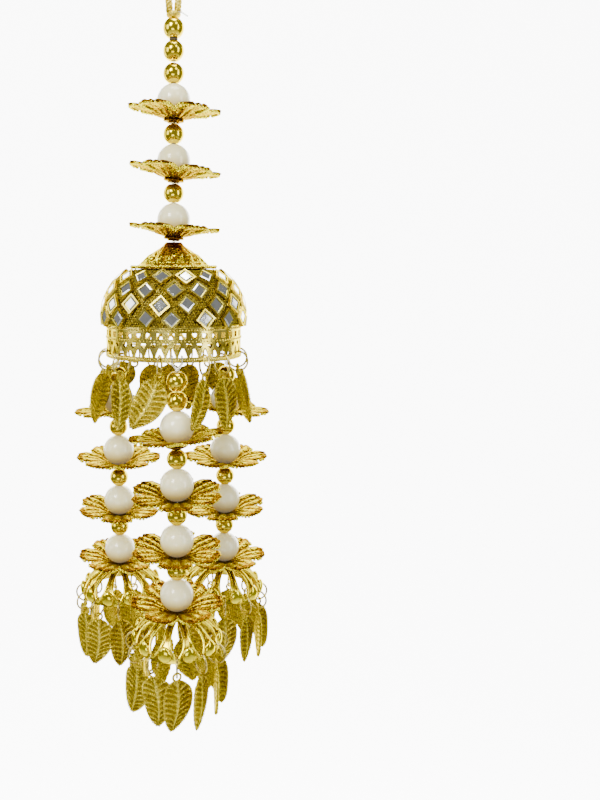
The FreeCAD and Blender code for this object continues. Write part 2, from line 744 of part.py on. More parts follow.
def make_strand(strand, band_top, pattern, bell_pattern, leaf_pattern):
    name = strand["name"]
    azimuth = strand["azimuth"]
    axis = polar(STRAND_R, azimuth)
    z = band_top - BAND_H - STRAND_FIRST_PEARL + strand["rise"] + gold_pitch
    golds = [z + STRAND_GOLD_STEP * i for i in reversed(range(strand["top_golds"]))]
    first = golds[0]
    for i in range(STRAND_FLOWERS):
        z -= gold_pitch
        save(placed(pearl(z), axis), f"{name}_pearl_{i + 1}")
        save(posed_flower(pattern, axis + V(0, 0, z - foot_drop), FLOWER_POSES[name][i]),
             f"{name}_flower_{i + 1}")
        z -= pearl_to_gold
        golds.append(z)
    golds.pop()
    save(Part.makeCompound([placed(gold_bead(g), axis) for g in golds]), f"{name}_gold_beads")
    bell_top = z + GOLD_H / 2
    bell_turn = tilt_turn(*BELL_TILTS[name])
    top = axis + V(0, 0, bell_top)
    save(placed(bell_pattern, top, [bell_turn]), f"{name}_bell")
    rings = []
    leaves = []
    for i, (turn, lean) in enumerate(BELL_LEAVES[name]):
        bell_azimuth = 360.0 / BELL_GAPS * i
        hook = polar(BELL_R - BELL_WALL / 2, bell_azimuth, -BELL_EYE_BELOW_TOP)
        hook = FreeCAD.Rotation(*bell_turn).multVec(hook)
        ring, hung = ring_and_leaf(leaf_pattern, top + hook, bell_azimuth, turn, lean, 0)
        rings.append(ring)
        leaves.append(hung)
    save(Part.makeCompound(rings), f"{name}_bell_rings")
    save(Part.makeCompound(leaves), f"{name}_bell_leaves")
    merge = first + GOLD_H / 2 + LEGS_MEET_ABOVE
    save(strand_thread(azimuth, band_top, merge, bell_top - BELL_WALL - 1.0), f"{name}_thread")


def main():
    os.makedirs("parts", exist_ok=True)
    flower_pattern = flower()
    bell_pattern = bell()
    leaf_pattern = leaf()
    save(hanging_cord(), "hanging_cord")
    save(cord_knot(), "cord_knot")
    cap_top = make_top_strand(flower_pattern)
    save(cap(cap_top), "dome_cap")
    equator = cap_top - DOME_EQUATOR_BELOW_CAP
    sites = mirror_sites(equator)
    band_top = equator - DOME_SKIRT
    settings = [placed_at(setting(), site) for site in sites]
    save(dome_shell(equator).fuse([band(band_top)] + settings), "mirror_dome")
    save(Part.makeCompound([placed_at(mirror(), site) for site in sites]), "mirrors")
    crown = dome_point(equator, DOME_CROWN_DEG)[1] + DOME_CROWN_RISE
    thread_top = CORD_FOOT_Z - PIECE_GAP - KNOT_H + KNOT_BORE_DEEP - THREAD_SHORT
    save(thread_rod(V(0, 0, thread_top), V(0, 0, crown - DOME_WALL - 1.2), THREAD_D), "main_thread")
    rings = []
    leaves = []
    for row in BAND_LEAVES:
        azimuth = column_azimuth(row["column"])
        hook = polar(STRAND_R, azimuth, band_top - GABLE_BOTTOM)
        ring, hung = ring_and_leaf(leaf_pattern, hook, azimuth, row["turn"], row["lean"], row["swing"])
        rings.append(ring)
        leaves.append(hung)
    save(Part.makeCompound(rings), "band_rings")
    save(Part.makeCompound(leaves), "band_leaves")
    for strand in STRANDS:
        make_strand(strand, band_top, flower_pattern, bell_pattern, leaf_pattern)
    print(f"cap top {cap_top:.2f}, equator {equator:.2f}, band top {band_top:.2f}, period {period:.2f}")


main()
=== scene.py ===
# %% [markdown]
# A kalire is a bridal ornament that hangs from a bangle: a gold cord, pearls that sit in metal
# flowers, a dome set with little mirrors, and three strands that end in pierced bells with leaf
# drops. Its solids come ready in one frame. This lesson gives them their finishes, and builds the
# parts whose fine relief makes the ornament: the twisted cord, the petals, the leaves, the bells'
# ridges, the cap, and the grains of the dome and its band.

import math

import bmesh
import bpy
from mathutils import Matrix, Vector


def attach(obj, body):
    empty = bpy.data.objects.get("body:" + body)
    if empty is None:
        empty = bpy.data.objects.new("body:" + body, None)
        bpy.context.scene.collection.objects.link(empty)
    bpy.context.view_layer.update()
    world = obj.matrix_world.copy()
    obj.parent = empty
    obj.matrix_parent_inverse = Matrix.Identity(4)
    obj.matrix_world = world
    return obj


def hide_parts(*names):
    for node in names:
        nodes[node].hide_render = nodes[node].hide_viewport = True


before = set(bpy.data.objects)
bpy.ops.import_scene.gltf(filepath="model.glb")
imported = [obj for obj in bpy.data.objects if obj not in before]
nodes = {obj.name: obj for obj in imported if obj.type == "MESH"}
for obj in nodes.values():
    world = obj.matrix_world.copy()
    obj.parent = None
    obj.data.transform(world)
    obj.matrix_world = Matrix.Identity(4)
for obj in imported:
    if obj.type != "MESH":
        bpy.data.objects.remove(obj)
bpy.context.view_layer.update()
bpy.ops.object.select_all(action="DESELECT")
MM = 0.001

# %% [markdown]
# The camera stands a little over twenty centimetres in front of the ornament, level with the dome's
# shoulder, and looks slightly down. A close camera matters here: it looks up at the flowers near the
# top and down on the bells. The ornament hangs left of the picture's middle, which is what the lens
# shift is for.

# %%
# Camera
LOOK_DOWN = 9.55
camera_data = bpy.data.cameras.new("camera")
camera = bpy.data.objects.new("camera", camera_data)
bpy.context.scene.collection.objects.link(camera)
camera_data.lens = 34.09
camera_data.sensor_width = 36.0
camera_data.shift_x = 0.158
camera_data.clip_start = 0.01
camera_data.clip_end = 20.0
camera.location = (0.0, -0.23434, -0.0980)
camera.rotation_euler = (math.radians(90 - LOOK_DOWN), 0.0, 0.0)
bpy.context.scene.camera = camera
print("camera at", tuple(camera.location), "looking down", LOOK_DOWN, "degrees")

# %% [markdown]
# The hanging cord is a doubled gold thread that opens into a loop. Its line is one smooth spline
# that a few given points guide. The cord itself is three strands that wind round that line,
# made by stepping along the spline and turning a little at each step.

# %%
# The cord's line
CORD_POINTS = [
    # x, y, z in metres, from the knot up one leg, over the loop and down the other
    (0.0012, 0.0, -0.0237),
    (0.0012, 0.0, -0.0174),
    (0.0073, 0.0, -0.0116),
    (0.0080, 0.0, -0.0044),
    (0.0036, 0.0, 0.0011),
    (-0.0036, 0.0, 0.0011),
    (-0.0080, 0.0, -0.0044),
    (-0.0073, 0.0, -0.0116),
    (-0.0012, 0.0, -0.0174),
    (-0.0012, 0.0, -0.0237),
]


def nurbs_line(name, points, resolution=24):
    """Points along the smooth spline that a few control points guide."""
    data = bpy.data.curves.new(name, "CURVE")
    data.dimensions = "3D"
    data.resolution_u = resolution
    spline = data.splines.new("NURBS")
    spline.points.add(len(points) - 1)
    for point, place in zip(spline.points, points):
        point.co = (*place, 1.0)
    spline.order_u = 3
    spline.use_endpoint_u = True
    holder = bpy.data.objects.new(name, data)
    bpy.context.scene.collection.objects.link(holder)
    bpy.context.view_layer.update()
    mesh = bpy.data.meshes.new_from_object(holder)
    line = [v.co.copy() for v in mesh.vertices]
    bpy.data.objects.remove(holder)
    return line


cord_line = nurbs_line("cord_line", CORD_POINTS)


# %%
# Small helpers that the rest of the lesson uses
def mesh_piece(name, verts, faces):
    """A mesh object with smooth shading from corners and faces."""
    mesh = bpy.data.meshes.new(name)
    mesh.from_pydata([tuple(v) for v in verts], [], faces)
    mesh.update()
    piece = bpy.data.objects.new(name, mesh)
    bpy.context.scene.collection.objects.link(piece)
    mesh.polygons.foreach_set("use_smooth", [True] * len(mesh.polygons))
    return piece


def tube_along(line, radius, sides):
    """Corners and faces of a closed round tube along a list of points."""
    verts, faces = [], []
    side = Vector((0, 1, 0))
    for i, point in enumerate(line):
        ahead = line[min(i + 1, len(line) - 1)] - line[max(i - 1, 0)]
        ahead.normalize()
        side = (side - ahead * side.dot(ahead)).normalized()
        other = ahead.cross(side)
        for k in range(sides):
            a = 2 * math.pi * k / sides
            verts.append(point + (side * math.cos(a) + other * math.sin(a)) * radius)
    for i in range(len(line) - 1):
        for k in range(sides):
            a, b = i * sides + k, i * sides + (k + 1) % sides
            faces.append((a, b, b + sides, a + sides))
    faces.append(tuple(range(sides))[::-1])
    last = (len(line) - 1) * sides
    faces.append(tuple(range(last, last + sides)))
    return verts, faces


def ring_faces(rows, sides):
    """Faces between closed rows of corners, where the last row meets the first."""
    faces = []
    for i in range(rows):
        for k in range(sides):
            after, ahead = (k + 1) % sides, ((i + 1) % rows) * sides
            faces.append((i * sides + k, i * sides + after, ahead + after, ahead + k))
    return faces


def joined(parts):
    """One list of corners and faces from several."""
    verts, faces = [], []
    for part_verts, part_faces in parts:
        start = len(verts)
        verts += part_verts
        faces += [tuple(i + start for i in f) for f in part_faces]
    return verts, faces


def toned(parts):
    """The same for parts of corners, faces and tone: one number, or one for each corner."""
    tones = []
    for verts, faces, tone in parts:
        tones += [tone] * len(verts) if isinstance(tone, float) else tone
    return (*joined([part[:2] for part in parts]), tones)


def outward(piece):
    """Merge doubles and turn every face outwards."""
    bm = bmesh.new()
    bm.from_mesh(piece.data)
    bmesh.ops.remove_doubles(bm, verts=bm.verts, dist=1e-7)
    bmesh.ops.recalc_face_normals(bm, faces=bm.faces)
    bm.to_mesh(piece.data)
    bm.free()
    return piece


def triangles(piece):
    """How many triangles a piece's faces split into."""
    return sum(len(p.vertices) - 2 for p in piece.data.polygons)


print("mesh helpers ready")


# %%
# Strands that wind round the cord's line
CORD_R = 1.1 * MM
STRANDS_IN_CORD = 3
TURNS_PER_MM = 0.30
LINE_STEP = 0.22 * MM
STRAND_SIDES = 10


def resampled(line, step):
    """The same line with its points an even step apart."""
    out, carried = [line[0]], 0.0
    for a, b in zip(line, line[1:]):
        gap = (b - a).length
        while carried + gap >= step:
            a = a + (b - a) * ((step - carried) / gap)
            out.append(a.copy())
            gap = (b - a).length
            carried = 0.0
        carried += gap
    if (out[-1] - line[-1]).length > step * 0.3:
        out.append(line[-1])
    return out


def wound(line, offset, turns_per_mm, phase):
    """A helix round a line that lies in the plane of X and Z."""
    out, run = [], 0.0
    for i, point in enumerate(line):
        ahead = (line[min(i + 1, len(line) - 1)] - line[max(i - 1, 0)]).normalized()
        side = Vector((0, 1, 0))
        other = ahead.cross(side).normalized()
        if i:
            run += (point - line[i - 1]).length * 1000
        a = 2 * math.pi * (turns_per_mm * run) + phase
        out.append(point + (side * math.cos(a) + other * math.sin(a)) * offset)
    return out


fine_line = resampled(cord_line, LINE_STEP)
strand_r = CORD_R * 0.5
parts = []
for k in range(STRANDS_IN_CORD):
    phase = 2 * math.pi * k / STRANDS_IN_CORD
    strand = wound(fine_line, CORD_R - strand_r, TURNS_PER_MM, phase)
    parts.append(tube_along(strand, strand_r, STRAND_SIDES))
cord = outward(mesh_piece("hanging_cord_twist", *joined(parts)))
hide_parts("hanging_cord")
print("cord:", len(parts), "strands,", triangles(cord), "triangles")

# %% [markdown]
# Gold plate is a metal: its colour is the colour of its reflections. The plate on such an ornament
# is a strong lemon yellow, a little uneven in tone, with fine scratches that spread the shine. One
# recipe makes all its finishes, with a deep tone painted into hollows and undersides as shade and a
# light tone painted onto heights as a highlight. A few short helpers come first, one for each kind
# of node that the finishes share.


# %%
# Helpers for the finishes
def new_material(name):
    """An empty material, its node tree and its shader."""
    material = bpy.data.materials.new(name)
    material.use_nodes = True
    tree = material.node_tree
    shader = tree.nodes["Principled BSDF"]
    return material, tree, shader


def own_place(tree):
    """The piece's own coordinates, from one node that the whole material shares."""
    coords = tree.nodes.get("place") or tree.nodes.new("ShaderNodeTexCoord")
    coords.name = "place"
    return coords.outputs["Object"]


def ramp(tree, source, stops):
    """A colour that follows a value through (place, colour) stops."""
    node = tree.nodes.new("ShaderNodeValToRGB")
    while len(node.color_ramp.elements) < len(stops):
        node.color_ramp.elements.new(0.5)
    for element, (place, colour) in zip(node.color_ramp.elements, stops):
        element.position = place
        element.color = (*colour, 1.0)
    tree.links.new(source, node.inputs["Fac"])
    return node.outputs["Color"]


def noise(tree, scale, detail, roughness=0.55):
    """Soft noise through the piece. scale is in waves per metre."""
    node = tree.nodes.new("ShaderNodeTexNoise")
    node.inputs["Scale"].default_value = scale
    node.inputs["Detail"].default_value = detail
    node.inputs["Roughness"].default_value = roughness
    tree.links.new(own_place(tree), node.inputs["Vector"])
    return node.outputs["Fac"]


def bump(tree, height, distance, strength, after=None):
    """Fine relief in the shading, distance metres high, on top of an earlier bump."""
    node = tree.nodes.new("ShaderNodeBump")
    node.inputs["Strength"].default_value = strength
    node.inputs["Distance"].default_value = distance
    tree.links.new(height, node.inputs["Height"])
    if after is not None:
        tree.links.new(after, node.inputs["Normal"])
    return node.outputs["Normal"]


def mapped(tree, value, low, high, to_low, to_high):
    """A value moved from one range to another, and held within it."""
    node = tree.nodes.new("ShaderNodeMapRange")
    node.inputs["From Min"].default_value = low
    node.inputs["From Max"].default_value = high
    node.inputs["To Min"].default_value = to_low
    node.inputs["To Max"].default_value = to_high
    tree.links.new(value, node.inputs["Value"])
    return node.outputs["Result"]


def grain_cells(tree, scale):
    """Packed round cells, 1 at a grain's top and 0 in the seams between grains."""
    node = tree.nodes.new("ShaderNodeTexVoronoi")
    node.inputs["Scale"].default_value = scale
    tree.links.new(own_place(tree), node.inputs["Vector"])
    return mapped(tree, node.outputs["Distance"], 0.0, 0.62, 1.0, 0.0)


def math_node(tree, operation, a, b=None):
    """One step of arithmetic on sockets or plain numbers."""
    node = tree.nodes.new("ShaderNodeMath")
    node.operation = operation
    for socket, value in zip(node.inputs, (a, b)):
        if value is None:
            continue
        if isinstance(value, (int, float)):
            socket.default_value = value
        else:
            tree.links.new(value, socket)
    return node.outputs["Value"]


print("finish helpers ready")


# %%
# The recipe for gold plate. The tint is the plate's colour where light only grazes it.
GRAZING_TINT = (0.84, 0.72, 0.08)
DRIFT_SCALE = 260.0
SCRATCH_SCALE = 2600.0
SCRATCH_DEPTH = 0.00002


def gold(name, deep, mid, light, rough, grain=0.0, grain_scale=900.0, toned_mesh=False):
    """Gold plate whose tone drifts between colours, with fine uneven shine. On a toned mesh the hollows
    and undersides take the deep colour as painted shade, the heights the light one as a painted
    highlight, and the seams between grains are painted darker as shade. grain is the height of its
    stamped grains in metres."""
    material, tree, shader = new_material(name)
    drift = noise(tree, DRIFT_SCALE, 5.0)
    height = drift
    stops = [(0.30, deep), (0.48, mid), (0.70, light)]
    cells = grain_cells(tree, grain_scale) if grain else None
    if toned_mesh:
        # the mesh's tone is painted light: painted shade in hollows and underneath, a painted highlight
        # on heights
        tone = tree.nodes.new("ShaderNodeAttribute")
        tone.attribute_name = "tone"
        wander = mapped(tree, drift, 0.3, 0.7, -0.14, 0.14)
        height = math_node(tree, "ADD", tone.outputs["Fac"], wander)
        # the seams between grain cells are painted darker as shade, their tops lighter as a highlight
        height = math_node(tree, "ADD", height, mapped(tree, cells, 0.0, 1.0, -0.16, 0.12))
        stops = [(0.12, deep), (0.50, mid), (0.90, light)]
    tree.links.new(ramp(tree, height, stops), shader.inputs["Base Color"])
    shader.inputs["Metallic"].default_value = 1.0
    shader.inputs["Specular Tint"].default_value = (*GRAZING_TINT, 1.0)
    fine = noise(tree, SCRATCH_SCALE, 3.0)
    tree.links.new(mapped(tree, fine, 0.3, 0.7, rough * 0.7, rough * 1.35), shader.inputs["Roughness"])
    normal = bump(tree, fine, SCRATCH_DEPTH, 0.35)
    if grain:
        normal = bump(tree, cells, grain, 1.0, normal)
    tree.links.new(normal, shader.inputs["Normal"])
    return material


print("grazing tint of the plate:", GRAZING_TINT)


# %%
# The gold finishes: deep, middle and light colour, roughness, then the height and scale of grains
gold_flower = gold("flower_gold", (0.17, 0.070, 0.002), (0.50, 0.40, 0.002), (0.96, 0.86, 0.02), 0.19,
                   0.00026, 1300.0, toned_mesh=True)
gold_bead = gold("bead_gold", (0.60, 0.43, 0.010), (0.76, 0.58, 0.020), (0.88, 0.72, 0.06), 0.16)
gold_cap = gold("cap_gold", (0.24, 0.065, 0.002), (0.74, 0.58, 0.004), (1.0, 0.92, 0.05), 0.17,
                0.00035, 800.0, toned_mesh=True)
gold_bell = gold("bell_gold", (0.28, 0.19, 0.003), (0.54, 0.42, 0.006), (0.80, 0.66, 0.02), 0.22)
gold_ridge = gold("ridge_gold", (0.66, 0.52, 0.006), (0.86, 0.72, 0.015), (1.0, 0.90, 0.05), 0.17)
gold_ring = gold("ring_gold", (0.36, 0.29, 0.07), (0.52, 0.42, 0.12), (0.68, 0.58, 0.20), 0.24)
gold_leaf = gold("leaf_gold", (0.26, 0.18, 0.005), (0.50, 0.385, 0.014), (0.86, 0.72, 0.10), 0.27,
                 0.00016, 2500.0, toned_mesh=True)
gold_thread = gold("zari_gold", (0.36, 0.24, 0.012), (0.70, 0.53, 0.03), (0.95, 0.82, 0.22), 0.36,
                   0.00010, 3000.0)
print("materials so far:", len(bpy.data.materials))


# %% [markdown]
# The mirror dome is one casting with three looks: a grained ground painted dark, as the shade that
# fills its recesses, bright frames that stand proud of it, and the pierced band below. Height and
# distance from the dome's round arc tell the three apart, so the painted shade follows the metal's
# real relief.


# %%
# The dome's round arc, in mm: how far out its middle lies, its height and its radius. Below it is
# the height of the band's upper edge.
DOME_OUT = 5.17
DOME_EQUATOR = -111.5
DOME_ARC_R = 16.13
BAND_TOP = -113.4


def mixed(tree, share, a, b):
    """Colour a where the share is 0, and colour b where it is 1."""
    node = tree.nodes.new("ShaderNodeMix")
    node.data_type = "RGBA"
    tree.links.new(share, node.inputs["Factor"])
    for socket, value in ((node.inputs["A"], a), (node.inputs["B"], b)):
        if isinstance(value, tuple):
            socket.default_value = (*value, 1.0)
        else:
            tree.links.new(value, socket)
    return node.outputs["Result"]


def long_side(tree, a, b):
    """The long side of a right-angled triangle with sides a and b."""
    squares = [math_node(tree, "MULTIPLY", side, side) for side in (a, b)]
    return math_node(tree, "SQRT", math_node(tree, "ADD", *squares))


def dome_finish():
    """A grained ground painted dark as shade, and bright frames and band, told apart by where the metal
    is.
    """
    material, tree, shader = new_material("dome_gold")
    split = tree.nodes.new("ShaderNodeSeparateXYZ")
    tree.links.new(own_place(tree), split.inputs["Vector"])
    x, y, z = (split.outputs[k] for k in "XYZ")
    from_arc_middle = math_node(tree, "SUBTRACT", long_side(tree, x, y), DOME_OUT * MM)
    from_equator = math_node(tree, "SUBTRACT", z, DOME_EQUATOR * MM)
    reach = long_side(tree, from_arc_middle, from_equator)
    proud = mapped(tree, reach, DOME_ARC_R * MM + 0.10 * MM, DOME_ARC_R * MM + 1.0 * MM, 0.0, 1.0)
    band = mapped(tree, z, BAND_TOP * MM - 0.1 * MM, BAND_TOP * MM + 0.1 * MM, 1.0, 0.0)
    bright = math_node(tree, "MAXIMUM", proud, band)
    drift = noise(tree, 300.0, 4.0)
    specks = noise(tree, 1500.0, 2.0, 0.7)
    # the ground's near-black and brown: painted shade in the recesses between the grains and frames
    ground = ramp(tree, specks, [(0.36, (0.030, 0.020, 0.002)), (0.52, (0.18, 0.12, 0.008)),
                                 (0.70, (0.55, 0.42, 0.03))])
    frame_tone = ramp(tree, drift, [(0.3, (0.52, 0.40, 0.03)), (0.5, (0.74, 0.60, 0.08)),
                                    (0.7, (0.92, 0.80, 0.20))])
    tree.links.new(mixed(tree, bright, ground, frame_tone), shader.inputs["Base Color"])
    shader.inputs["Metallic"].default_value = 1.0
    shader.inputs["Specular Tint"].default_value = (*GRAZING_TINT, 1.0)
    tree.links.new(mapped(tree, bright, 0.0, 1.0, 0.42, 0.20), shader.inputs["Roughness"])
    height = math_node(tree, "MULTIPLY", specks, mapped(tree, bright, 0.0, 1.0, 1.0, 0.12))
    tree.links.new(bump(tree, height, 0.0003, 1.0), shader.inputs["Normal"])
    return material


gold_dome = dome_finish()
print("dome finish:", gold_dome.name)


# %% [markdown]
# Imitation pearl is a cream bead under a clear lacquer, with a soft milky depth and hardly any
# grain. Its lower side carries a painted warm reflection of the gold flower under it, and a faint
# painted glow brightens the whole bead. Mirror glass is plain silver. The threads are clear nylon,
# which bends light and is a faint yellow.


# %%
# Pearl
def pearl_finish():
    """Cream lacquer with a painted warm reflection of the gold flower where its surface faces down, and
    a faint painted glow.
    """
    material, tree, shader = new_material("pearl_lacquer")
    tone = ramp(tree, noise(tree, 180.0, 2.0), [(0.3, (0.97, 0.87, 0.44)), (0.7, (1.0, 0.94, 0.60))])
    facing = tree.nodes.new("ShaderNodeNewGeometry")
    split = tree.nodes.new("ShaderNodeSeparateXYZ")
    tree.links.new(facing.outputs["Normal"], split.inputs["Vector"])
    # where the surface faces down: the painted reflection of the gold flower below
    low = mapped(tree, split.outputs["Z"], -0.55, 0.12, 1.0, 0.0)
    tree.links.new(mixed(tree, low, tone, (0.66, 0.46, 0.02)), shader.inputs["Base Color"])
    shader.inputs["Roughness"].default_value = 0.26
    shader.inputs["Subsurface Weight"].default_value = 0.15
    shader.inputs["Subsurface Radius"].default_value = (1.0, 0.8, 0.6)
    shader.inputs["Subsurface Scale"].default_value = 0.0015
    shader.inputs["Coat Weight"].default_value = 0.6
    shader.inputs["Coat Roughness"].default_value = 0.08
    # a faint cream glow: painted light, for the pearl is no lamp
    shader.inputs["Emission Color"].default_value = (1.0, 0.93, 0.66, 1.0)
    shader.inputs["Emission Strength"].default_value = 0.14
    tree.links.new(bump(tree, noise(tree, 900.0, 2.0), 0.00001, 0.3), shader.inputs["Normal"])
    return material


pearl_lacquer = pearl_finish()
print("pearl finish:", pearl_lacquer.name)


# %%
# Mirror, nylon and dark thread
def mirror_finish():
    """Silver glass with faint cloudy patches."""
    material, tree, shader = new_material("mirror_silver")
    tone = ramp(tree, noise(tree, 220.0, 3.0), [(0.3, (0.66, 0.70, 0.68)), (0.7, (0.90, 0.92, 0.90))])
    tree.links.new(tone, shader.inputs["Base Color"])
    shader.inputs["Metallic"].default_value = 1.0
    rough = mapped(tree, noise(tree, 1600.0, 3.0), 0.3, 0.7, 0.03, 0.10)
    tree.links.new(rough, shader.inputs["Roughness"])
    return material


def nylon_finish():
    """Clear thread."""
    material, tree, shader = new_material("clear_nylon")
    tone = ramp(tree, noise(tree, 700.0, 2.0), [(0.3, (0.86, 0.84, 0.72)), (0.7, (0.96, 0.95, 0.88))])
    tree.links.new(tone, shader.inputs["Base Color"])
    shader.inputs["Roughness"].default_value = 0.12
    shader.inputs["Transmission Weight"].default_value = 0.75
    shader.inputs["IOR"].default_value = 1.5
    return material


def dark_thread_finish():
    """Dull brown thread."""
    material, tree, shader = new_material("dark_thread")
    fibres = noise(tree, 2400.0, 3.0)
    tone = ramp(tree, fibres, [(0.3, (0.030, 0.022, 0.008)), (0.7, (0.12, 0.09, 0.03))])
    tree.links.new(tone, shader.inputs["Base Color"])
    shader.inputs["Roughness"].default_value = 0.7
    tree.links.new(bump(tree, noise(tree, 3000.0, 2.0), 0.00006, 0.8), shader.inputs["Normal"])
    return material


mirror_silver = mirror_finish()
clear_nylon = nylon_finish()
dark_thread = dark_thread_finish()
print("all finishes:", [m.name for m in bpy.data.materials])


# %%
# Give each solid of the frame its finish
def finish_of(name):
    """The finish of a solid, from the words in its name. The solids that finer meshes replace later
    keep the flowers' gold until then."""
    if "pearl" in name:
        return pearl_lacquer
    if "gold_bead" in name:
        return gold_bead
    if name.endswith("thread"):
        return clear_nylon
    if name.endswith("_rings"):
        return gold_ring
    if name.endswith("_bell"):
        return gold_bell
    return {"mirrors": mirror_silver, "mirror_dome": gold_dome, "dome_cap": gold_cap,
            "cord_knot": gold_thread}.get(name, gold_flower)


def dress(piece, material):
    """Give a piece one material and no other."""
    piece.data.materials.clear()
    piece.data.materials.append(material)


for name, node in nodes.items():
    dress(node, finish_of(name))
dress(cord, gold_thread)
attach(cord, "root")
print("finishes given to", len(nodes), "solids")

# %% [markdown]
# One flower is cast in relief: six broad petals, each a shallow spoon with ridges that fan out from
# the heart, and a rim of tiny grains. A flat grid is bent into one petal by a formula for its
# outline and height. The sheet gets its thickness from Solidify, six turned copies make the flower,
# and grains are then set along the rims.

# %%
# One petal's shape
PETALS = 6
PETAL_ROWS = 26
PETAL_COLS = 32
PETAL_SHEET = 0.55
FLOWER_R = 13.9
HEART_R = 2.2
NOTCH_R = 7.2
TIP_R = 11.2
HALF_ANGLE = 30.0
TIP_HALF_ANGLE = 24.0
RIDGE_HIGH = 0.20


def cup_height(r):
    """Height of the cup's upper side over its foot at a radius, in mm."""
    knots = [(0.0, 0.62), (2.7, 0.66), (5.1, 1.40), (7.5, 2.60), (10.6, 3.15), (13.9, 3.50)]
    for (r0, z0), (r1, z1) in zip(knots, knots[1:]):
        if r <= r1:
            t = (r - r0) / (r1 - r0)
            t = t * t * (3 - 2 * t) * 0.35 + t * 0.65
            return z0 + (z1 - z0) * t
    return knots[-1][1]


def petal_half_angle(r):
    """Half the petal's width, as an angle in degrees, at a radius in mm."""
    if r <= NOTCH_R:
        return HALF_ANGLE
    if r <= TIP_R:
        t = (r - NOTCH_R) / 4.0
        return HALF_ANGLE - 6.0 * t * t
    t = min(1.0, (r - TIP_R) / (FLOWER_R - TIP_R))
    return TIP_HALF_ANGLE * math.sqrt(max(0.0, 1.0 - t * t))


def petal_wave(u):
    """Three long ridges across the petal, from -1 in the valleys to 1 on the ridges."""
    return math.cos(u * math.pi * 3.2) * (1.0 - 0.3 * abs(u))


def petal_point(u, v):
    """A point of the petal's upper side: u from -1 to 1 across, v from 0 at the heart to 1.
    The sides turn up a little, and the tip bends down."""
    r = HEART_R + (FLOWER_R - 0.35 - HEART_R) * (1.0 - (1.0 - v) ** 1.25)
    angle = math.radians(petal_half_angle(r) * u * 0.985)
    z = cup_height(r)
    spread = max(0.0, min(1.0, (r - 3.0) / 3.0))
    z += RIDGE_HIGH * spread * petal_wave(u)
    z += 0.15 * spread * (u * u) * max(0.0, (r - NOTCH_R) / 6.7)
    z -= 0.20 * max(0.0, (r - 11.5) / 2.4) ** 2
    return Vector((r * math.sin(angle), -r * math.cos(angle), z))


def shaped_grid(name, cols, rows, point):
    """A grid bent to a formula of its own two directions, each from 0 to 1."""
    bpy.ops.object.select_all(action="DESELECT")
    bpy.ops.mesh.primitive_grid_add(x_subdivisions=cols, y_subdivisions=rows, size=1.0)
    piece = bpy.context.active_object
    piece.name = name
    for v in piece.data.vertices:
        v.co = point(v.co.x + 0.5, v.co.y + 0.5) * MM
    piece.data.polygons.foreach_set("use_smooth", [True] * len(piece.data.polygons))
    return piece


def apply_modifier(piece, kind, **settings):
    """Add a modifier to a piece and apply it."""
    modifier = piece.modifiers.new(kind.lower(), kind)
    for key, value in settings.items():
        setattr(modifier, key, value)
    bpy.ops.object.select_all(action="DESELECT")
    piece.select_set(True)
    bpy.context.view_layer.objects.active = piece
    bpy.ops.object.modifier_apply(modifier=modifier.name)


petal = shaped_grid("petal", PETAL_COLS, PETAL_ROWS, lambda x, y: petal_point(x * 2 - 1, y))
apply_modifier(petal, "SOLIDIFY", thickness=PETAL_SHEET * MM, offset=-1.0)
outward(petal)
print("petal:", triangles(petal), "triangles")


# %%
# Grains: one small ball, and a helper that sets copies of it at given places
def ball(subdivisions):
    """Corners and faces of a ball of radius 1."""
    bpy.ops.object.select_all(action="DESELECT")
    bpy.ops.mesh.primitive_ico_sphere_add(subdivisions=subdivisions, radius=1.0)
    piece = bpy.context.active_object
    verts = [v.co.copy() for v in piece.data.vertices]
    faces = [tuple(p.vertices) for p in piece.data.polygons]
    bpy.data.objects.remove(piece)
    return verts, faces


grain = ball(1)
smooth_ball = ball(3)


def grains(places, pattern):
    """Corners and faces of a ball at each (point in mm, radius in mm)."""
    verts, faces = [], []
    for place, radius in places:
        start = len(verts)
        verts += [(place + corner * radius) * MM for corner in pattern[0]]
        faces += [tuple(i + start for i in f) for f in pattern[1]]
    return verts, faces


print("corners of one grain:", len(grain[0]))


# %%
# Where the grains of one petal's rim lie
RIM_STEPS = 80
RIM_GRAIN_R = 0.53
RIM_GRAIN_GAP = 1.16
INNER_GRAIN_R = 0.30
INNER_GRAIN_GAP = 0.72


def rim_line(steps):
    """Points along one petal's rim, from one notch round the tip to the other."""
    out = []
    for i in range(steps + 1):
        t = i / steps
        if t < 0.36:
            out.append(petal_point(-1.0, 0.40 + 0.50 * (t / 0.36)))
        elif t > 0.64:
            out.append(petal_point(1.0, 0.40 + 0.50 * ((1 - t) / 0.36)))
        else:
            s = (t - 0.36) / 0.28 * 2 - 1
            a = math.radians(TIP_HALF_ANGLE) * s
            r = FLOWER_R - 0.68 - 2.1 * (1 - math.cos(s * math.pi / 2)) * 0.5
            out.append(Vector((r * math.sin(a), -r * math.cos(a), cup_height(r) + 0.05)))
    return out


def towards_heart(point, share):
    """A point drawn in to a share of its distance from the flower's axis."""
    return Vector((point.x * share, point.y * share, point.z))


rim = resampled(rim_line(RIM_STEPS), RIM_GRAIN_GAP)
rim_places = [(p - Vector((0, 0, 0.12)), RIM_GRAIN_R) for p in rim]
inner_rim = resampled([towards_heart(p, 0.915) for p in rim_line(RIM_STEPS)], INNER_GRAIN_GAP)
rim_places += [(p + Vector((0, 0, 0.02)), INNER_GRAIN_R) for p in inner_rim]
print("grains on one petal:", len(rim_places))


# %%
# Six turned petals
# the rim grains get a painted highlight, and the foot under the flower gets painted shade
GRAIN_PAINTED_HIGHLIGHT = 0.86
FOOT_PAINTED_SHADE = 0.12


def turned(verts, matrix):
    """Corners moved by a matrix."""
    return [matrix @ v for v in verts]


petal_verts = [v.co.copy() for v in petal.data.vertices]
petal_faces = [tuple(p.vertices) for p in petal.data.polygons]
bpy.data.objects.remove(petal)


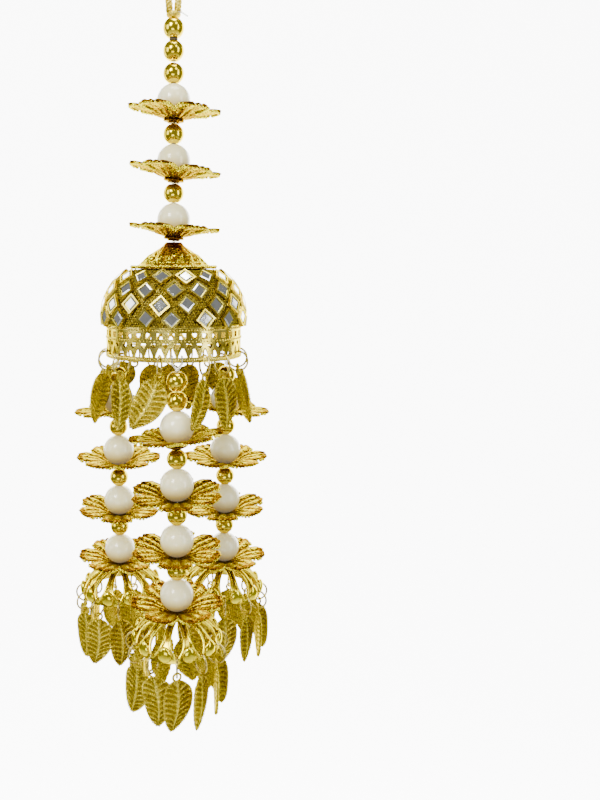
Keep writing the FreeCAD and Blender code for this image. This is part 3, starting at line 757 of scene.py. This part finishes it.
def petal_painted_light(point):
    """Painted light: dark as painted shade in the valleys, at the heart, underneath and along the rims,
    light as a painted highlight on the ridges.
    """
    r = math.hypot(point.x, point.y) / MM
    u = math.degrees(math.atan2(point.x, -point.y)) / max(3.0, petal_half_angle(min(r, FLOWER_R - 0.4)))
    if point.z / MM < cup_height(r) - 0.32:
        return 0.16 + 0.30 * min(1.0, r / FLOWER_R)
    # dark along the rim and the petal's edges under the grains: painted shade
    if r > 12.0 or abs(u) > 0.90 and r > 8.5:
        return 0.10
    outer = max(0.0, min(1.0, (r - 3.0) / 7.0))
    return 0.26 + 0.24 * outer + 0.24 * petal_wave(max(-1.0, min(1.0, u)))


petal_tones = [petal_painted_light(v) for v in petal_verts]
grain_verts, grain_faces = grains(rim_places, grain)
flower_parts = []
for k in range(PETALS):
    turn = Matrix.Rotation(math.radians(2 * HALF_ANGLE * k + HALF_ANGLE), 4, "Z")
    flower_parts.append((turned(petal_verts, turn), petal_faces, petal_tones))
    flower_parts.append((turned(grain_verts, turn), grain_faces, GRAIN_PAINTED_HIGHLIGHT))
print("petals and rims:", len(flower_parts), "parts")


# %%
# The flower's foot, a small turned disc with the bore for the thread
def lathe(profile, steps):
    """Corners and faces of a closed profile of (radius, height) in mm turned about Z."""
    verts = []
    for i in range(steps):
        a = 2 * math.pi * i / steps
        for r, z in profile:
            verts.append(Vector((r * math.sin(a), -r * math.cos(a), z)) * MM)
    return verts, ring_faces(steps, len(profile))


foot = [(0.9, 0.75), (2.0, 0.75), (3.0, 0.62), (3.1, 0.2), (2.8, 0.0), (1.9, -0.05), (1.75, -0.42),
        (0.9, -0.42)]
flower_parts.append((*lathe(foot, 40), FOOT_PAINTED_SHADE))
flower_verts, flower_faces, flower_tones = toned(flower_parts)
print("flower pattern:", len(flower_faces), "faces")


# %%
# Where the flowers sit: heights down each strand, and how each leans
STRAND_R = 20.35
PERIOD = 17.0
FLOWERS_A_STRAND = 4
TOP_PEARLS = (-48.35, -65.35, -82.35)
FOOT_DROP = 5.8
STRANDS = [
    # name, azimuth from the front, height of the first pearl, height of the bell's top
    ("front", 2.7, -142.1, -199.7),
    ("left", -117.3, -138.6, -196.2),
    ("right", 122.7, -138.6, -196.2),
]
FLOWER_POSES = {
    # per flower down each strand: spin, tilt angle, azimuth of the side that dips
    "top": [(0, 5.0, 60.0), (6, 7.0, 90.0), (0, 4.0, 90.0)],
    "front": [(2, 5.0, -95.0), (30, 6.0, -20.0), (28, 5.0, 0.0), (2, 3.0, 0.0)],
    "left": [(0, 9.0, -80.0), (0, 3.0, 0.0), (30, 5.0, 10.0), (2, 4.0, 20.0)],
    "right": [(0, 9.0, 80.0), (2, 3.0, 0.0), (24, 5.0, -30.0), (0, 4.0, -10.0)],
}


def polar(radius, azimuth, z=0.0):
    """A point at a radius and an azimuth, which runs from the front towards the right."""
    a = math.radians(azimuth)
    return Vector((radius * math.sin(a), -radius * math.cos(a), z))


def tilt(degrees, dip_azimuth):
    """A tilt that lowers the side at the given azimuth."""
    return Matrix.Rotation(math.radians(degrees), 4, polar(1, dip_azimuth + 90))


print("strands:", [name for name, *_ in STRANDS])


# %%
# Set a flower in each place
def put(name, verts, faces, matrix, material, slot_name, *stands_for, tones=None):
    piece = mesh_piece(name, turned(verts, matrix), faces)
    if tones is not None:
        # the tone carries painted shade in the hollows and underneath, and painted highlights on the
        # heights
        piece.data.attributes.new("tone", "FLOAT", "POINT").data.foreach_set("value", tones)
    dress(piece, material)
    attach(piece, "root")
    if stands_for:
        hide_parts(*stands_for)
    return piece


def flower_matrix(spot, pose):
    """Spin about the thread, then the tilt, then the place."""
    spin, degrees, dip = pose
    return (Matrix.Translation(spot * MM) @ tilt(degrees, dip)
            @ Matrix.Rotation(math.radians(spin), 4, "Z"))


spots = [("top", i, Vector((0, 0, z - FOOT_DROP))) for i, z in enumerate(TOP_PEARLS)]
for name, azimuth, pearl_z, _ in STRANDS:
    for i in range(FLOWERS_A_STRAND):
        spots.append((name, i, polar(STRAND_R, azimuth, pearl_z - PERIOD * i - FOOT_DROP)))
for name, i, spot in spots:
    stand = flower_matrix(spot, FLOWER_POSES[name][i])
    put(f"{name}_flower_{i + 1}_cast", flower_verts, flower_faces, stand, gold_flower, "flower_gold",
        f"{name}_flower_{i + 1}", tones=flower_tones)
print("flowers:", len(spots))

# %% [markdown]
# A leaf drop is stamped from thin sheet: a curved midrib, side veins that swing up towards the edge,
# a grained ground between them and a beaded edge. It is a grid again, bent to the leaf's outline,
# with the relief given by a formula, and small grains along the edge. The jump ring passes through
# an eye at its top.

# %%
# One leaf's shape
LEAF_LONG = 15.1
LEAF_HALF = 4.6
LEAF_TOP = -1.15
LEAF_ROWS = 60
LEAF_COLS = 26
LEAF_SHEET = 0.45
WIDEST_AT = 0.36
RIB_HIGH = 0.42
VEIN_HIGH = 0.34
VEIN_GAP = 1.55
EDGE_HIGH = 0.22


def leaf_half_width(t):
    """Half the blade's width at a share of its length, blunt at the top and pointed at the tip."""
    if t < WIDEST_AT:
        return LEAF_HALF * math.sqrt(1 - (1 - t / WIDEST_AT) ** 2.6)
    s = (t - WIDEST_AT) / 0.64
    return LEAF_HALF * (1 - s ** 2.2) ** 0.75


def leaf_spine_x(t):
    """How far the curved midrib lies to the side."""
    return 1.0 * math.sin(math.pi * t) - 0.9 * t


def leaf_relief(across, t):
    """Height of the relief: midrib, side veins and raised edge. across runs from -1 to 1."""
    rib = RIB_HIGH * math.exp(-(across * 4.7 / 0.50) ** 2)
    swing = t * LEAF_LONG + abs(across) * 3.4 - 1.6 * across * across
    wave = math.cos(2 * math.pi * swing / VEIN_GAP)
    fade = min(1.0, (1.02 - abs(across)) * 7)
    vein = VEIN_HIGH * max(0.0, wave) ** 1.5 * min(1.0, abs(across) * 5.0) * fade
    edge = EDGE_HIGH * math.exp(-((1 - abs(across)) * 6.0) ** 2)
    return rib + vein + edge


def leaf_point(x, y):
    """A point of the leaf's front: x from 0 to 1 across, y from 0 at the tip to 1 at the top."""
    across = x * 2 - 1
    t = 1 - y
    half = max(0.05, leaf_half_width(min(0.995, max(0.004, t))))
    px = leaf_spine_x(t) + across * half
    pz = LEAF_TOP - t * LEAF_LONG
    bow = 0.55 * (1 - across * across) * math.sin(math.pi * t)
    return Vector((px, -0.20 - bow * 0.6 - leaf_relief(across, t), pz))


leaf = shaped_grid("leaf", LEAF_COLS, LEAF_ROWS, leaf_point)
apply_modifier(leaf, "SOLIDIFY", thickness=LEAF_SHEET * MM, offset=-1.0)
outward(leaf)
leaf_shape = [v.co.copy() for v in leaf.data.vertices]
print("leaf blade:", triangles(leaf), "triangles")


# %%
# The leaf's painted light and shade, the grains along its edge and ground, and its eye
def leaf_painted_light(point):
    """Painted shade on the ground and a painted highlight on the relief at the front, mid tone behind.
    """
    t = (LEAF_TOP - point.z / MM) / LEAF_LONG
    half = max(0.05, leaf_half_width(min(0.995, max(0.004, t))))
    across = max(-1.0, min(1.0, (point.x / MM - leaf_spine_x(t)) / half))
    bow = 0.33 * (1 - across * across) * math.sin(math.pi * max(0.0, min(1.0, t)))
    front = -point.y / MM > bow + 0.10
    return 0.20 + 1.9 * leaf_relief(across, t) if front else 0.45


blade_faces = [tuple(p.vertices) for p in leaf.data.polygons]
leaf_parts = [(leaf_shape, blade_faces, [leaf_painted_light(v) for v in leaf_shape])]
bpy.data.objects.remove(leaf)
edge_line = [leaf_point(0.015, 1 - t / 60) for t in range(2, 60)]
edge_line += [leaf_point(0.985, t / 60) for t in range(1, 58)]
# the edge and ground grains are painted light, as a highlight on them
leaf_parts.append((*grains([(p, 0.30) for p in resampled(edge_line, 0.66)], grain), 0.72))
ground_line = [leaf_point(0.5 + side * 0.37 * (1 - (2 * k / 20 - 1) ** 4), 0.10 + 0.76 * k / 20)
               for side in (-1, 1) for k in range(21)]
leaf_parts.append((*grains([(p, 0.20) for p in ground_line], grain), 0.62))


def eye_ring(radius, wire, steps=24, sides=8):
    """A small ring about the Y axis: the eye that the jump ring passes through."""
    verts = []
    for i in range(steps):
        a = 2 * math.pi * i / steps
        for k in range(sides):
            b = 2 * math.pi * k / sides
            r = radius + wire * math.cos(b)
            verts.append(Vector((r * math.cos(a), wire * math.sin(b), r * math.sin(a))) * MM)
    return verts, ring_faces(steps, sides)


leaf_parts.append((*eye_ring(1.2, 0.34), 0.6))
leaf_verts, leaf_faces, leaf_tones = toned(leaf_parts)
print("leaf pattern:", len(leaf_faces), "faces")


# %%
# Where the leaves hang
RING_R = 3.0
RING_WIRE_R = 0.3
RING_PLAY = 0.25
EYE_PLAY = 0.25
EYE_BORE_R = 0.9
BELL_GAPS = 11
BELL_HOOK_R = 12.7
BELL_EYE_BELOW_TOP = 6.85
BAND_HOOK_DROP = 8.5
BAND_TURN = -1.92
BAND_COLUMNS = 39
BAND_LEAVES = [
    # band column from the front, turn about the vertical, lean in its plane, swing outwards
    (-8, -42, -28, 2), (-5, 0, -8, 6), (-1, 7, 24, 10), (3, 35, 28, 2), (5, 0, -12, -2),
    (8, 35, 28, 2), (11, 0, 40, 2), (16, 32, 40, 2), (18, 40, -6, 2), (-19, 0, 0, 2),
    (-17, -40, 6, 2), (-15, -32, -44, 2), (-10, 32, 28, 2),
]
BELL_LEAVES = {
    # per leaf round the bell, from the front: turn about the vertical, lean in its plane
    "front": [(24, 3), (30, 6), (28, -4), (32, 2), (27, -3), (31, 4), (26, -5), (30, 3), (33, -2),
              (26, 5), (22, -8)],
    "left": [(28, -4), (31, 3), (26, 5), (33, -3), (29, 2), (25, -5), (30, 4), (27, -2), (32, 5),
             (28, -3), (30, 2)],
    "right": [(30, 4), (26, -3), (32, 2), (28, 5), (31, -4), (27, 3), (29, -2), (33, 4), (25, -5),
              (30, 3), (27, -2)],
}
# how far each bell tilts, and the azimuth of the side that dips
BELL_TILTS = {"front": (2.0, 0.0), "left": (3.0, -100.0), "right": (4.0, 100.0)}
print("leaves on the band:", len(BAND_LEAVES), "and on each bell:", BELL_GAPS)


# %%
# Hang the leaves
def leaf_matrix(hook, azimuth, turn, lean, swing):
    """The leaf turned and leant, hung below its hook by the jump ring, and swung outwards."""
    eye_drop = 2 * RING_R - 2 * RING_WIRE_R - RING_PLAY - EYE_PLAY + EYE_BORE_R
    out = Matrix.Rotation(math.radians(-swing), 4, polar(1, azimuth + 90))
    hang = Matrix.Translation(Vector((0, 0, -eye_drop)) * MM)
    turned_leaf = (Matrix.Rotation(math.radians(azimuth + turn), 4, "Z")
                   @ Matrix.Rotation(math.radians(lean), 4, "Y"))
    return Matrix.Translation(hook * MM) @ out @ hang @ turned_leaf


def leaf_group(name, matrices, stands_for):
    """All the leaves of one bell or of the band, as one piece."""
    verts, faces = joined([(turned(leaf_verts, m), leaf_faces) for m in matrices])
    piece = put(name, verts, faces, Matrix.Identity(4), gold_leaf, "leaf_gold", stands_for,
                tones=leaf_tones * len(matrices))
    print(name, len(matrices), "leaves,", triangles(piece), "triangles")


places = []
for column, turn, lean, swing in BAND_LEAVES:
    azimuth = BAND_TURN + 360.0 / BAND_COLUMNS * column
    hook = polar(STRAND_R, azimuth, BAND_TOP - BAND_HOOK_DROP)
    places.append(leaf_matrix(hook, azimuth, turn, lean, swing))
leaf_group("band_leaves_stamped", places, "band_leaves")
for name, azimuth, _, bell_z in STRANDS:
    bell_tilt = tilt(*BELL_TILTS[name])
    places = []
    for i, (turn, lean) in enumerate(BELL_LEAVES[name]):
        leaf_azimuth = 360.0 / BELL_GAPS * i
        hook_in_bell = bell_tilt @ polar(BELL_HOOK_R, leaf_azimuth, -BELL_EYE_BELOW_TOP)
        hook = polar(STRAND_R, azimuth, bell_z) + hook_in_bell
        places.append(leaf_matrix(hook, leaf_azimuth, turn, lean, 0))
    leaf_group(f"{name}_bell_leaves_stamped", places, f"{name}_bell_leaves")

# %% [markdown]
# Each opening of a bell is framed by a raised wire-like ridge, so that two ridges run side by side
# between neighbouring openings. The ridge follows the opening's outline: a drop drawn in a plane, cast
# from the bell's middle onto its round wall. A smooth swelling fills the wall between two openings.

# %%
# The bell's wall and the outline of one opening, in mm from the bell's top
BELL_R = 13.0
BELL_H = 8.5
BELL_HUB_R = 2.6
BELL_SHOULDER = (9.6, -2.55)
DROP_CENTRE_Z = -9.5
DROP_LEAN = 36.0
DROP_REACH = 11.8
DROP_SIDE = [(0.0, -6.0), (1.45, -4.3), (2.15, -1.2), (1.65, 2.6), (0.75, 6.4), (0.55, 8.0)]
RIDGE_R = 0.46
RIDGE_STEP = 0.45
BULGE = (2.1, 1.05, 2.5)
BULGE_Z = -6.0


def circle_through(a, b, c):
    """Centre and radius of the circle through three points of a plane."""
    d = 2 * (a[0] * (b[1] - c[1]) + b[0] * (c[1] - a[1]) + c[0] * (a[1] - b[1]))
    squares = [p[0] ** 2 + p[1] ** 2 for p in (a, b, c)]
    x = (squares[0] * (b[1] - c[1]) + squares[1] * (c[1] - a[1]) + squares[2] * (a[1] - b[1])) / d
    y = (squares[0] * (c[0] - b[0]) + squares[1] * (a[0] - c[0]) + squares[2] * (b[0] - a[0])) / d
    return (x, y), math.dist((x, y), a)


bell_arc = circle_through((BELL_HUB_R, 0.25), (BELL_SHOULDER[0] + 0.2, BELL_SHOULDER[1] + 0.2),
                          (BELL_R + 0.25, -BELL_H))


def on_bell(direction):
    """Where a ray from the bell's middle meets its round wall."""
    (cr, cz), radius = bell_arc
    dr, dz, oz = math.hypot(direction.x, direction.y), direction.z, DROP_CENTRE_Z - cz
    a, b, c = dr * dr + dz * dz, -2 * dr * cr + 2 * dz * oz, cr * cr + oz * oz - radius * radius
    reach = (-b + math.sqrt(max(0.0, b * b - 4 * a * c))) / (2 * a)
    return Vector((0, 0, DROP_CENTRE_Z)) + direction * reach


def ridge_line(side):
    """One side of an opening's outline, laid on the bell."""
    flat = nurbs_line("drop_side", [(side * x, y, 0.0) for x, y in DROP_SIDE], 8)
    lean = math.radians(DROP_LEAN)
    out = polar(math.cos(lean), 0, math.sin(lean))
    up = polar(-math.sin(lean), 0, math.cos(lean))
    return [on_bell(out * DROP_REACH + Vector((p.x, 0, 0)) + up * p.y) for p in flat]


print("radius of the bell's arc:", round(bell_arc[1], 1), "mm")


# %%
# Two ridges and a swelling, repeated round each bell
ridge_parts = []
for side in (-1, 1):
    ridge = [p * MM for p in resampled(ridge_line(side), RIDGE_STEP)]
    ridge_parts.append(tube_along(ridge, RIDGE_R * MM, 8))
half_gap = 180.0 / BELL_GAPS
bulge_seat = polar(BELL_R - 0.3, half_gap, BULGE_Z)
bulge_turn = Matrix.Rotation(math.radians(half_gap), 4, "Z")
bulge = []
for c in smooth_ball[0]:
    corner = Vector((c.x * BULGE[0], c.y * BULGE[1], c.z * BULGE[2] - 0.5 * c.x * c.x))
    bulge.append((bulge_turn @ corner + bulge_seat) * MM)
ridge_parts.append((bulge, smooth_ball[1]))
ridge_verts, ridge_faces = joined(ridge_parts)
for name, azimuth, _, bell_z in STRANDS:
    stand = Matrix.Translation(polar(STRAND_R, azimuth, bell_z) * MM) @ tilt(*BELL_TILTS[name])
    rings = []
    for i in range(BELL_GAPS):
        turn = Matrix.Rotation(math.radians(360.0 / BELL_GAPS * i), 4, "Z")
        rings.append((turned(ridge_verts, turn), ridge_faces))
    ridges = put(f"{name}_bell_ridges", *joined(rings), stand, gold_ridge, "bell_gold")
    outward(ridges)
print("bell ridges:", triangles(ridges), "triangles a bell")

# %% [markdown]
# The cap over the dome is embossed with long drops that fan out from its neck, and its rim is
# scalloped and beaded. A ring-shaped grid is enough for it: the drops are waves round the cap whose
# height fades towards the neck and the rim.

# %%
# The cap's shape: t runs from 0 at the neck to 1 at the rim
CAP_TOP = -88.95
CAP_PROFILE = [(1.0, 0.0), (2.4, 0.0), (3.2, -1.05), (4.85, -2.15), (7.4, -3.8), (9.3, -5.9),
               (10.8, -6.85), (13.0, -7.35)]
CAP_SECTORS = 30
CAP_ROWS = 34
CAP_COLS = 240
CAP_WALL = 0.55


def along(profile, t):
    """The point at a share of a profile's length."""
    lengths = [math.dist(a, b) for a, b in zip(profile, profile[1:])]
    goal = t * sum(lengths)
    for (a, b), length in zip(zip(profile, profile[1:]), lengths):
        if goal <= length:
            s = goal / length
            return a[0] + (b[0] - a[0]) * s, a[1] + (b[1] - a[1]) * s
        goal -= length
    return profile[-1]


def cap_drop(a, t):
    """Long drops that fan out from the neck, from 0 between them to 1 on them."""
    drop = abs(math.sin(a * CAP_SECTORS / 4)) ** 0.7
    return drop * (0.75 + 0.25 * math.cos(a * CAP_SECTORS / 2 + t * 14))


def cap_tone(t, turn_share):
    """Dark red-brown at the neck; dark between the drops as painted shade, and bright on the drops and
    the brim as a painted highlight.
    """
    a = 2 * math.pi * turn_share
    if t < 0.28:
        return 0.12 + 0.6 * t
    return min(1.0, 0.10 + 0.62 * cap_drop(a, t) + 0.42 * t)


def cap_sheet(t, turn_share):
    """A point of the cap's upper side, at a share of a full turn."""
    a = 2 * math.pi * turn_share
    r, z = along(CAP_PROFILE, t)
    fade = max(0.0, min(1.0, (t - 0.30) * 4)) * max(0.0, min(1.0, (0.90 - t) * 6))
    drop = cap_drop(a, t)
    z += 0.62 * fade * (drop - 0.6)
    r += 0.42 * fade * (drop - 0.6)
    if t > 0.9:
        r -= 0.35 * (1 - abs(math.cos(a * CAP_SECTORS / 2))) * (t - 0.9) * 10
    return Vector((r * math.sin(a), -r * math.cos(a), z))


verts, tones = [], []
for wall in (0.0, CAP_WALL):
    for j in range(CAP_ROWS + 1):
        for i in range(CAP_COLS):
            p = cap_sheet(j / CAP_ROWS, i / CAP_COLS)
            verts.append((p + Vector((0, 0, -wall))) * MM)
            # the cap's lower side is painted darker, as shade
            tones.append(0.2 if wall else cap_tone(j / CAP_ROWS, i / CAP_COLS))
print("cap corners:", len(verts))

# %%
# The cap's faces: upper and lower side, then the walls at the neck and the rim
faces = []
layer = (CAP_ROWS + 1) * CAP_COLS
for j in range(CAP_ROWS):
    for i in range(CAP_COLS):
        a, b = j * CAP_COLS + i, j * CAP_COLS + (i + 1) % CAP_COLS
        c, d = b + CAP_COLS, a + CAP_COLS
        faces.append((a, d, c, b))
        faces.append((a + layer, b + layer, c + layer, d + layer))
low = CAP_ROWS * CAP_COLS
for i in range(CAP_COLS):
    k = (i + 1) % CAP_COLS
    faces.append((i, k, k + layer, i + layer))
    faces.append((low + k, low + i, low + i + layer, low + k + layer))
cap_rim = [(polar(12.85, 360 / 84 * i, -7.30), 0.46) for i in range(84)]
ring_low = [(polar(9.6, 360 / 60 * i, -6.15), 0.36) for i in range(60)]
cap_grains = grains(cap_rim + ring_low, grain)
# the rim's grains are painted light, as a highlight
cap_verts, cap_faces, cap_tones = toned([(verts, faces, tones), (*cap_grains, 0.85)])
cap_stand = Matrix.Translation(Vector((0, 0, CAP_TOP)) * MM)
cap_piece = put("dome_cap_embossed", cap_verts, cap_faces, cap_stand, gold_cap, "cap_gold", "dome_cap",
                tones=cap_tones)
outward(cap_piece)
print("cap:", triangles(cap_piece), "triangles")

# %% [markdown]
# The dome's ground between the mirrors is granulated: hundreds of tiny balls of metal side by side.
# They are real little balls here, set in rows round the dome and left out where a frame stands.

# %%
# Where the mirrors' frames stand
MIRRORS_ROUND = 16
MIRROR_ROWS = [
    # latitude, whether it stands between the columns below, share of the sway
    (1.5, False, 1.0), (15.5, True, 1.0), (30.5, False, 0.8), (47.0, True, 0.4),
]
MIRROR_SWAY = [
    # sway in azimuth and latitude, and spin, in degrees, taken in turn
    (-1.5, 0.0, 2.0), (1.5, 0.6, 5.0), (1.0, -0.5, -6.0), (-0.8, 0.8, 4.0), (1.2, -0.6, -3.0),
    (-1.4, 0.4, 7.0), (0.6, 0.9, -5.0),
]
SETTING_SIDE = 4.3


def dome_spot(latitude, azimuth, proud=0.0):
    """A point on the dome, or a little proud of it, in mm."""
    a = math.radians(latitude)
    reach = DOME_ARC_R + proud
    return polar(DOME_OUT + reach * math.cos(a), azimuth, DOME_EQUATOR + reach * math.sin(a))


settings = []
for k, (row_latitude, between, sway) in enumerate(MIRROR_ROWS):
    for i in range(MIRRORS_ROUND):
        d_az, d_lat, spin = MIRROR_SWAY[(i + 3 * k) % len(MIRROR_SWAY)]
        azimuth = 360.0 / MIRRORS_ROUND * (i + 0.5 * between) + d_az * sway
        latitude = row_latitude + d_lat * sway
        out = polar(math.cos(math.radians(latitude)), azimuth, math.sin(math.radians(latitude)))
        round_way = polar(1, azimuth + 90)
        up = out.cross(round_way)
        if up.z < 0:
            up = -up
        settings.append((dome_spot(latitude, azimuth), round_way, up, math.radians(45 + spin)))


print("frames on the dome:", len(settings))


# %%
# Granulation on the dome
GRAIN_R = 0.34
GRAIN_GAP = 0.78
GRAIN_ROW_GAP = 0.70
GRAIN_ROOM = 0.18
LOWEST_ROW = -5.5
HIGHEST_ROW = 61


def clear_of_frames(point, room):
    """Whether a point lies outside every frame by the given room."""
    for centre, round_way, up, turn in settings:
        d = point - centre
        if d.length > 4.2:
            continue
        x, y = d.dot(round_way), d.dot(up)
        px = x * math.cos(turn) + y * math.sin(turn)
        py = -x * math.sin(turn) + y * math.cos(turn)
        if max(abs(px), abs(py)) < SETTING_SIDE / 2 + room:
            return False
    return True


places = []
latitude = LOWEST_ROW
row = 0
while latitude < HIGHEST_ROW:
    radius = DOME_OUT + DOME_ARC_R * math.cos(math.radians(latitude))
    count = int(2 * math.pi * radius / GRAIN_GAP)
    for i in range(count):
        azimuth = 360.0 / count * (i + 0.5 * (row % 2))
        spot = dome_spot(latitude, azimuth, 0.05)
        if clear_of_frames(spot, GRAIN_ROOM):
            places.append((spot, GRAIN_R))
    latitude += math.degrees(GRAIN_ROW_GAP / DOME_ARC_R)
    row += 1
as_made = Matrix.Identity(4)
dome_grains = put("dome_granulation", *grains(places, grain), as_made, gold_dome, "dome_gold")
print("dome grains:", len(places), triangles(dome_grains), "triangles")

# %% [markdown]
# The pierced band has ribbed strips. Fine upright ribs along its foot and its middle, and a row of
# grains along its upper edge, catch the light as on the real casting.

# %%
# Ribs and grains on the band
BAND_R = 20.7
BAND_H = 9.95
FOOT_RIBS = 195
MIDDLE_RIBS = 117
EDGE_GRAINS = 150


def small_block(centre, azimuth, wide, deep, tall):
    """Corners and faces of a block that stands square to the band."""
    out, side = polar(1, azimuth), polar(1, azimuth + 90)
    verts = []
    for sz in (-1, 1):
        for sx, sy in ((-1, -1), (1, -1), (1, 1), (-1, 1)):
            corner = centre + side * (sx * wide / 2) + out * (sy * deep / 2)
            verts.append((corner + Vector((0, 0, sz * tall / 2))) * MM)
    faces = [(0, 1, 2, 3), (7, 6, 5, 4), (0, 4, 5, 1), (1, 5, 6, 2), (2, 6, 7, 3), (3, 7, 4, 0)]
    return verts, faces


ribs = []
for i in range(FOOT_RIBS):
    azimuth = 360.0 / FOOT_RIBS * i
    centre = polar(BAND_R + 0.05, azimuth, BAND_TOP - BAND_H + 0.72)
    ribs.append(small_block(centre, azimuth, 0.30, 0.4, 1.0))
for i in range(MIDDLE_RIBS):
    azimuth = 360.0 / MIDDLE_RIBS * i
    centre = polar(BAND_R + 0.04, azimuth, BAND_TOP - 3.92)
    ribs.append(small_block(centre, azimuth, 0.34, 0.34, 0.5))
places = []
for i in range(EDGE_GRAINS):
    places.append((polar(BAND_R + 0.02, 360.0 / EDGE_GRAINS * i, BAND_TOP - 0.75), 0.36))
band_parts = joined(ribs + [grains(places, grain)])
band_trim = put("band_trim", *band_parts, as_made, gold_dome, "dome_gold")
outward(band_trim)
print("band trim:", triangles(band_trim), "triangles")

# %% [markdown]
# Two small signs of the hand work at the top: the clear thread's cut end sticks out beside the cord's
# foot, and a turn of dark thread is wound between the first two beads.

# %%
# Thread tail and dark winding
TAIL_R = 0.24
WINDING_R = 0.36
WINDING_Z = -31.3
TAIL = [(0.5, -1.3, -24.4), (1.7, -1.5, -24.0), (2.9, -1.2, -24.5), (4.1, -0.6, -25.1)]
tail_line = [p * MM for p in nurbs_line("tail", TAIL, 10)]
put("thread_tail", *tube_along(tail_line, TAIL_R * MM, 8), as_made, clear_nylon, "clear_thread")
winding = [polar(0.95, 36 * k, WINDING_Z + 0.12 * math.sin(k)) * MM for k in range(21)]
put("dark_winding", *tube_along(winding, WINDING_R * MM, 8), as_made, dark_thread, "dark_cord")
print("thread tail:", len(tail_line), "points; dark winding:", len(winding), "points")

# %% [markdown]
# The ornament hangs high over a pale floor, in front of a plain white sheet that glows on its own.
# Gold needs something to reflect: soft lights give the long highlights, and the dim room in front of
# the ornament gives the brown between them.

# %%
# Floor and backdrop
FLOOR_Z = -1.05
BACKDROP_PLACE = (0.22, 0.9, -0.35)
BACKDROP_GLOW = 9.0


def sheet_material(name, glow):
    """Matt near-white, with a glow of its own if it is given one."""
    material, tree, shader = new_material(name)
    tone = ramp(tree, noise(tree, 1.5, 2.0), [(0.3, (0.93, 0.93, 0.93)), (0.7, (0.96, 0.96, 0.96))])
    tree.links.new(tone, shader.inputs["Base Color"])
    shader.inputs["Roughness"].default_value = 0.9
    shader.inputs["Emission Color"].default_value = (1.0, 1.0, 1.0, 1.0)
    shader.inputs["Emission Strength"].default_value = glow
    return material


bpy.ops.object.select_all(action="DESELECT")
bpy.ops.mesh.primitive_plane_add(size=3.0, location=(0, 0, FLOOR_Z))
floor = bpy.context.active_object
floor.name = "floor"
bpy.ops.mesh.primitive_plane_add(size=1.0, location=BACKDROP_PLACE, rotation=(math.radians(90), 0, 0))
backdrop = bpy.context.active_object
backdrop.name = "backdrop"
bpy.ops.transform.resize(value=(1.7, 1.0, 1.8), center_override=BACKDROP_PLACE)
bpy.ops.object.transform_apply(location=True, rotation=True, scale=True)
dress(floor, sheet_material("pale_floor", 0.0))
dress(backdrop, sheet_material("white_sheet", BACKDROP_GLOW))
print("stage:", floor.name, "and", backdrop.name)


# %%
# Lights, all turned to the dome
AIM = Vector((0.0, 0.0, -0.12))
LIGHTS = [
    # name, place and size in metres, power in watts
    ("key", (-0.32, -0.50, 0.28), (0.18, 0.26), 5.5),
    ("fill", (0.52, -0.36, 0.00), (0.12, 0.50), 1.8),
    ("top", (0.05, -0.05, 0.50), (0.25, 0.25), 3.0),
    ("left_panel", (-0.62, -0.22, 0.05), (0.30, 0.40), 1.6),
    ("right_panel", (0.34, -0.48, 0.45), (0.22, 0.22), 1.2),
    ("low_front", (-0.10, -0.62, -0.30), (0.30, 0.16), 0.8),
    ("rim_left", (-0.50, 0.30, -0.05), (0.15, 0.60), 1.5),
    ("rim_right", (0.50, 0.32, -0.05), (0.15, 0.60), 1.5),
]


def soft_light(name, place, size, power):
    """A rectangular lamp that faces the ornament."""
    data = bpy.data.lights.new(name, "AREA")
    data.shape = "RECTANGLE"
    data.size, data.size_y = size
    data.energy = power
    light = bpy.data.objects.new(name, data)
    bpy.context.scene.collection.objects.link(light)
    light.location = place
    light.rotation_euler = (AIM - Vector(place)).to_track_quat("-Z", "Y").to_euler()


for light_settings in LIGHTS:
    soft_light(*light_settings)
print("lights:", len(LIGHTS))

# %%
# The dim room
ROOM_GLOW = 0.27
world = bpy.data.worlds.new("room")
bpy.context.scene.world = world
world.use_nodes = True
room = world.node_tree.nodes["Background"]
room.inputs["Color"].default_value = (1.0, 0.98, 0.95, 1.0)
room.inputs["Strength"].default_value = ROOM_GLOW
print("room glow:", ROOM_GLOW)

# %%
print("scene built")
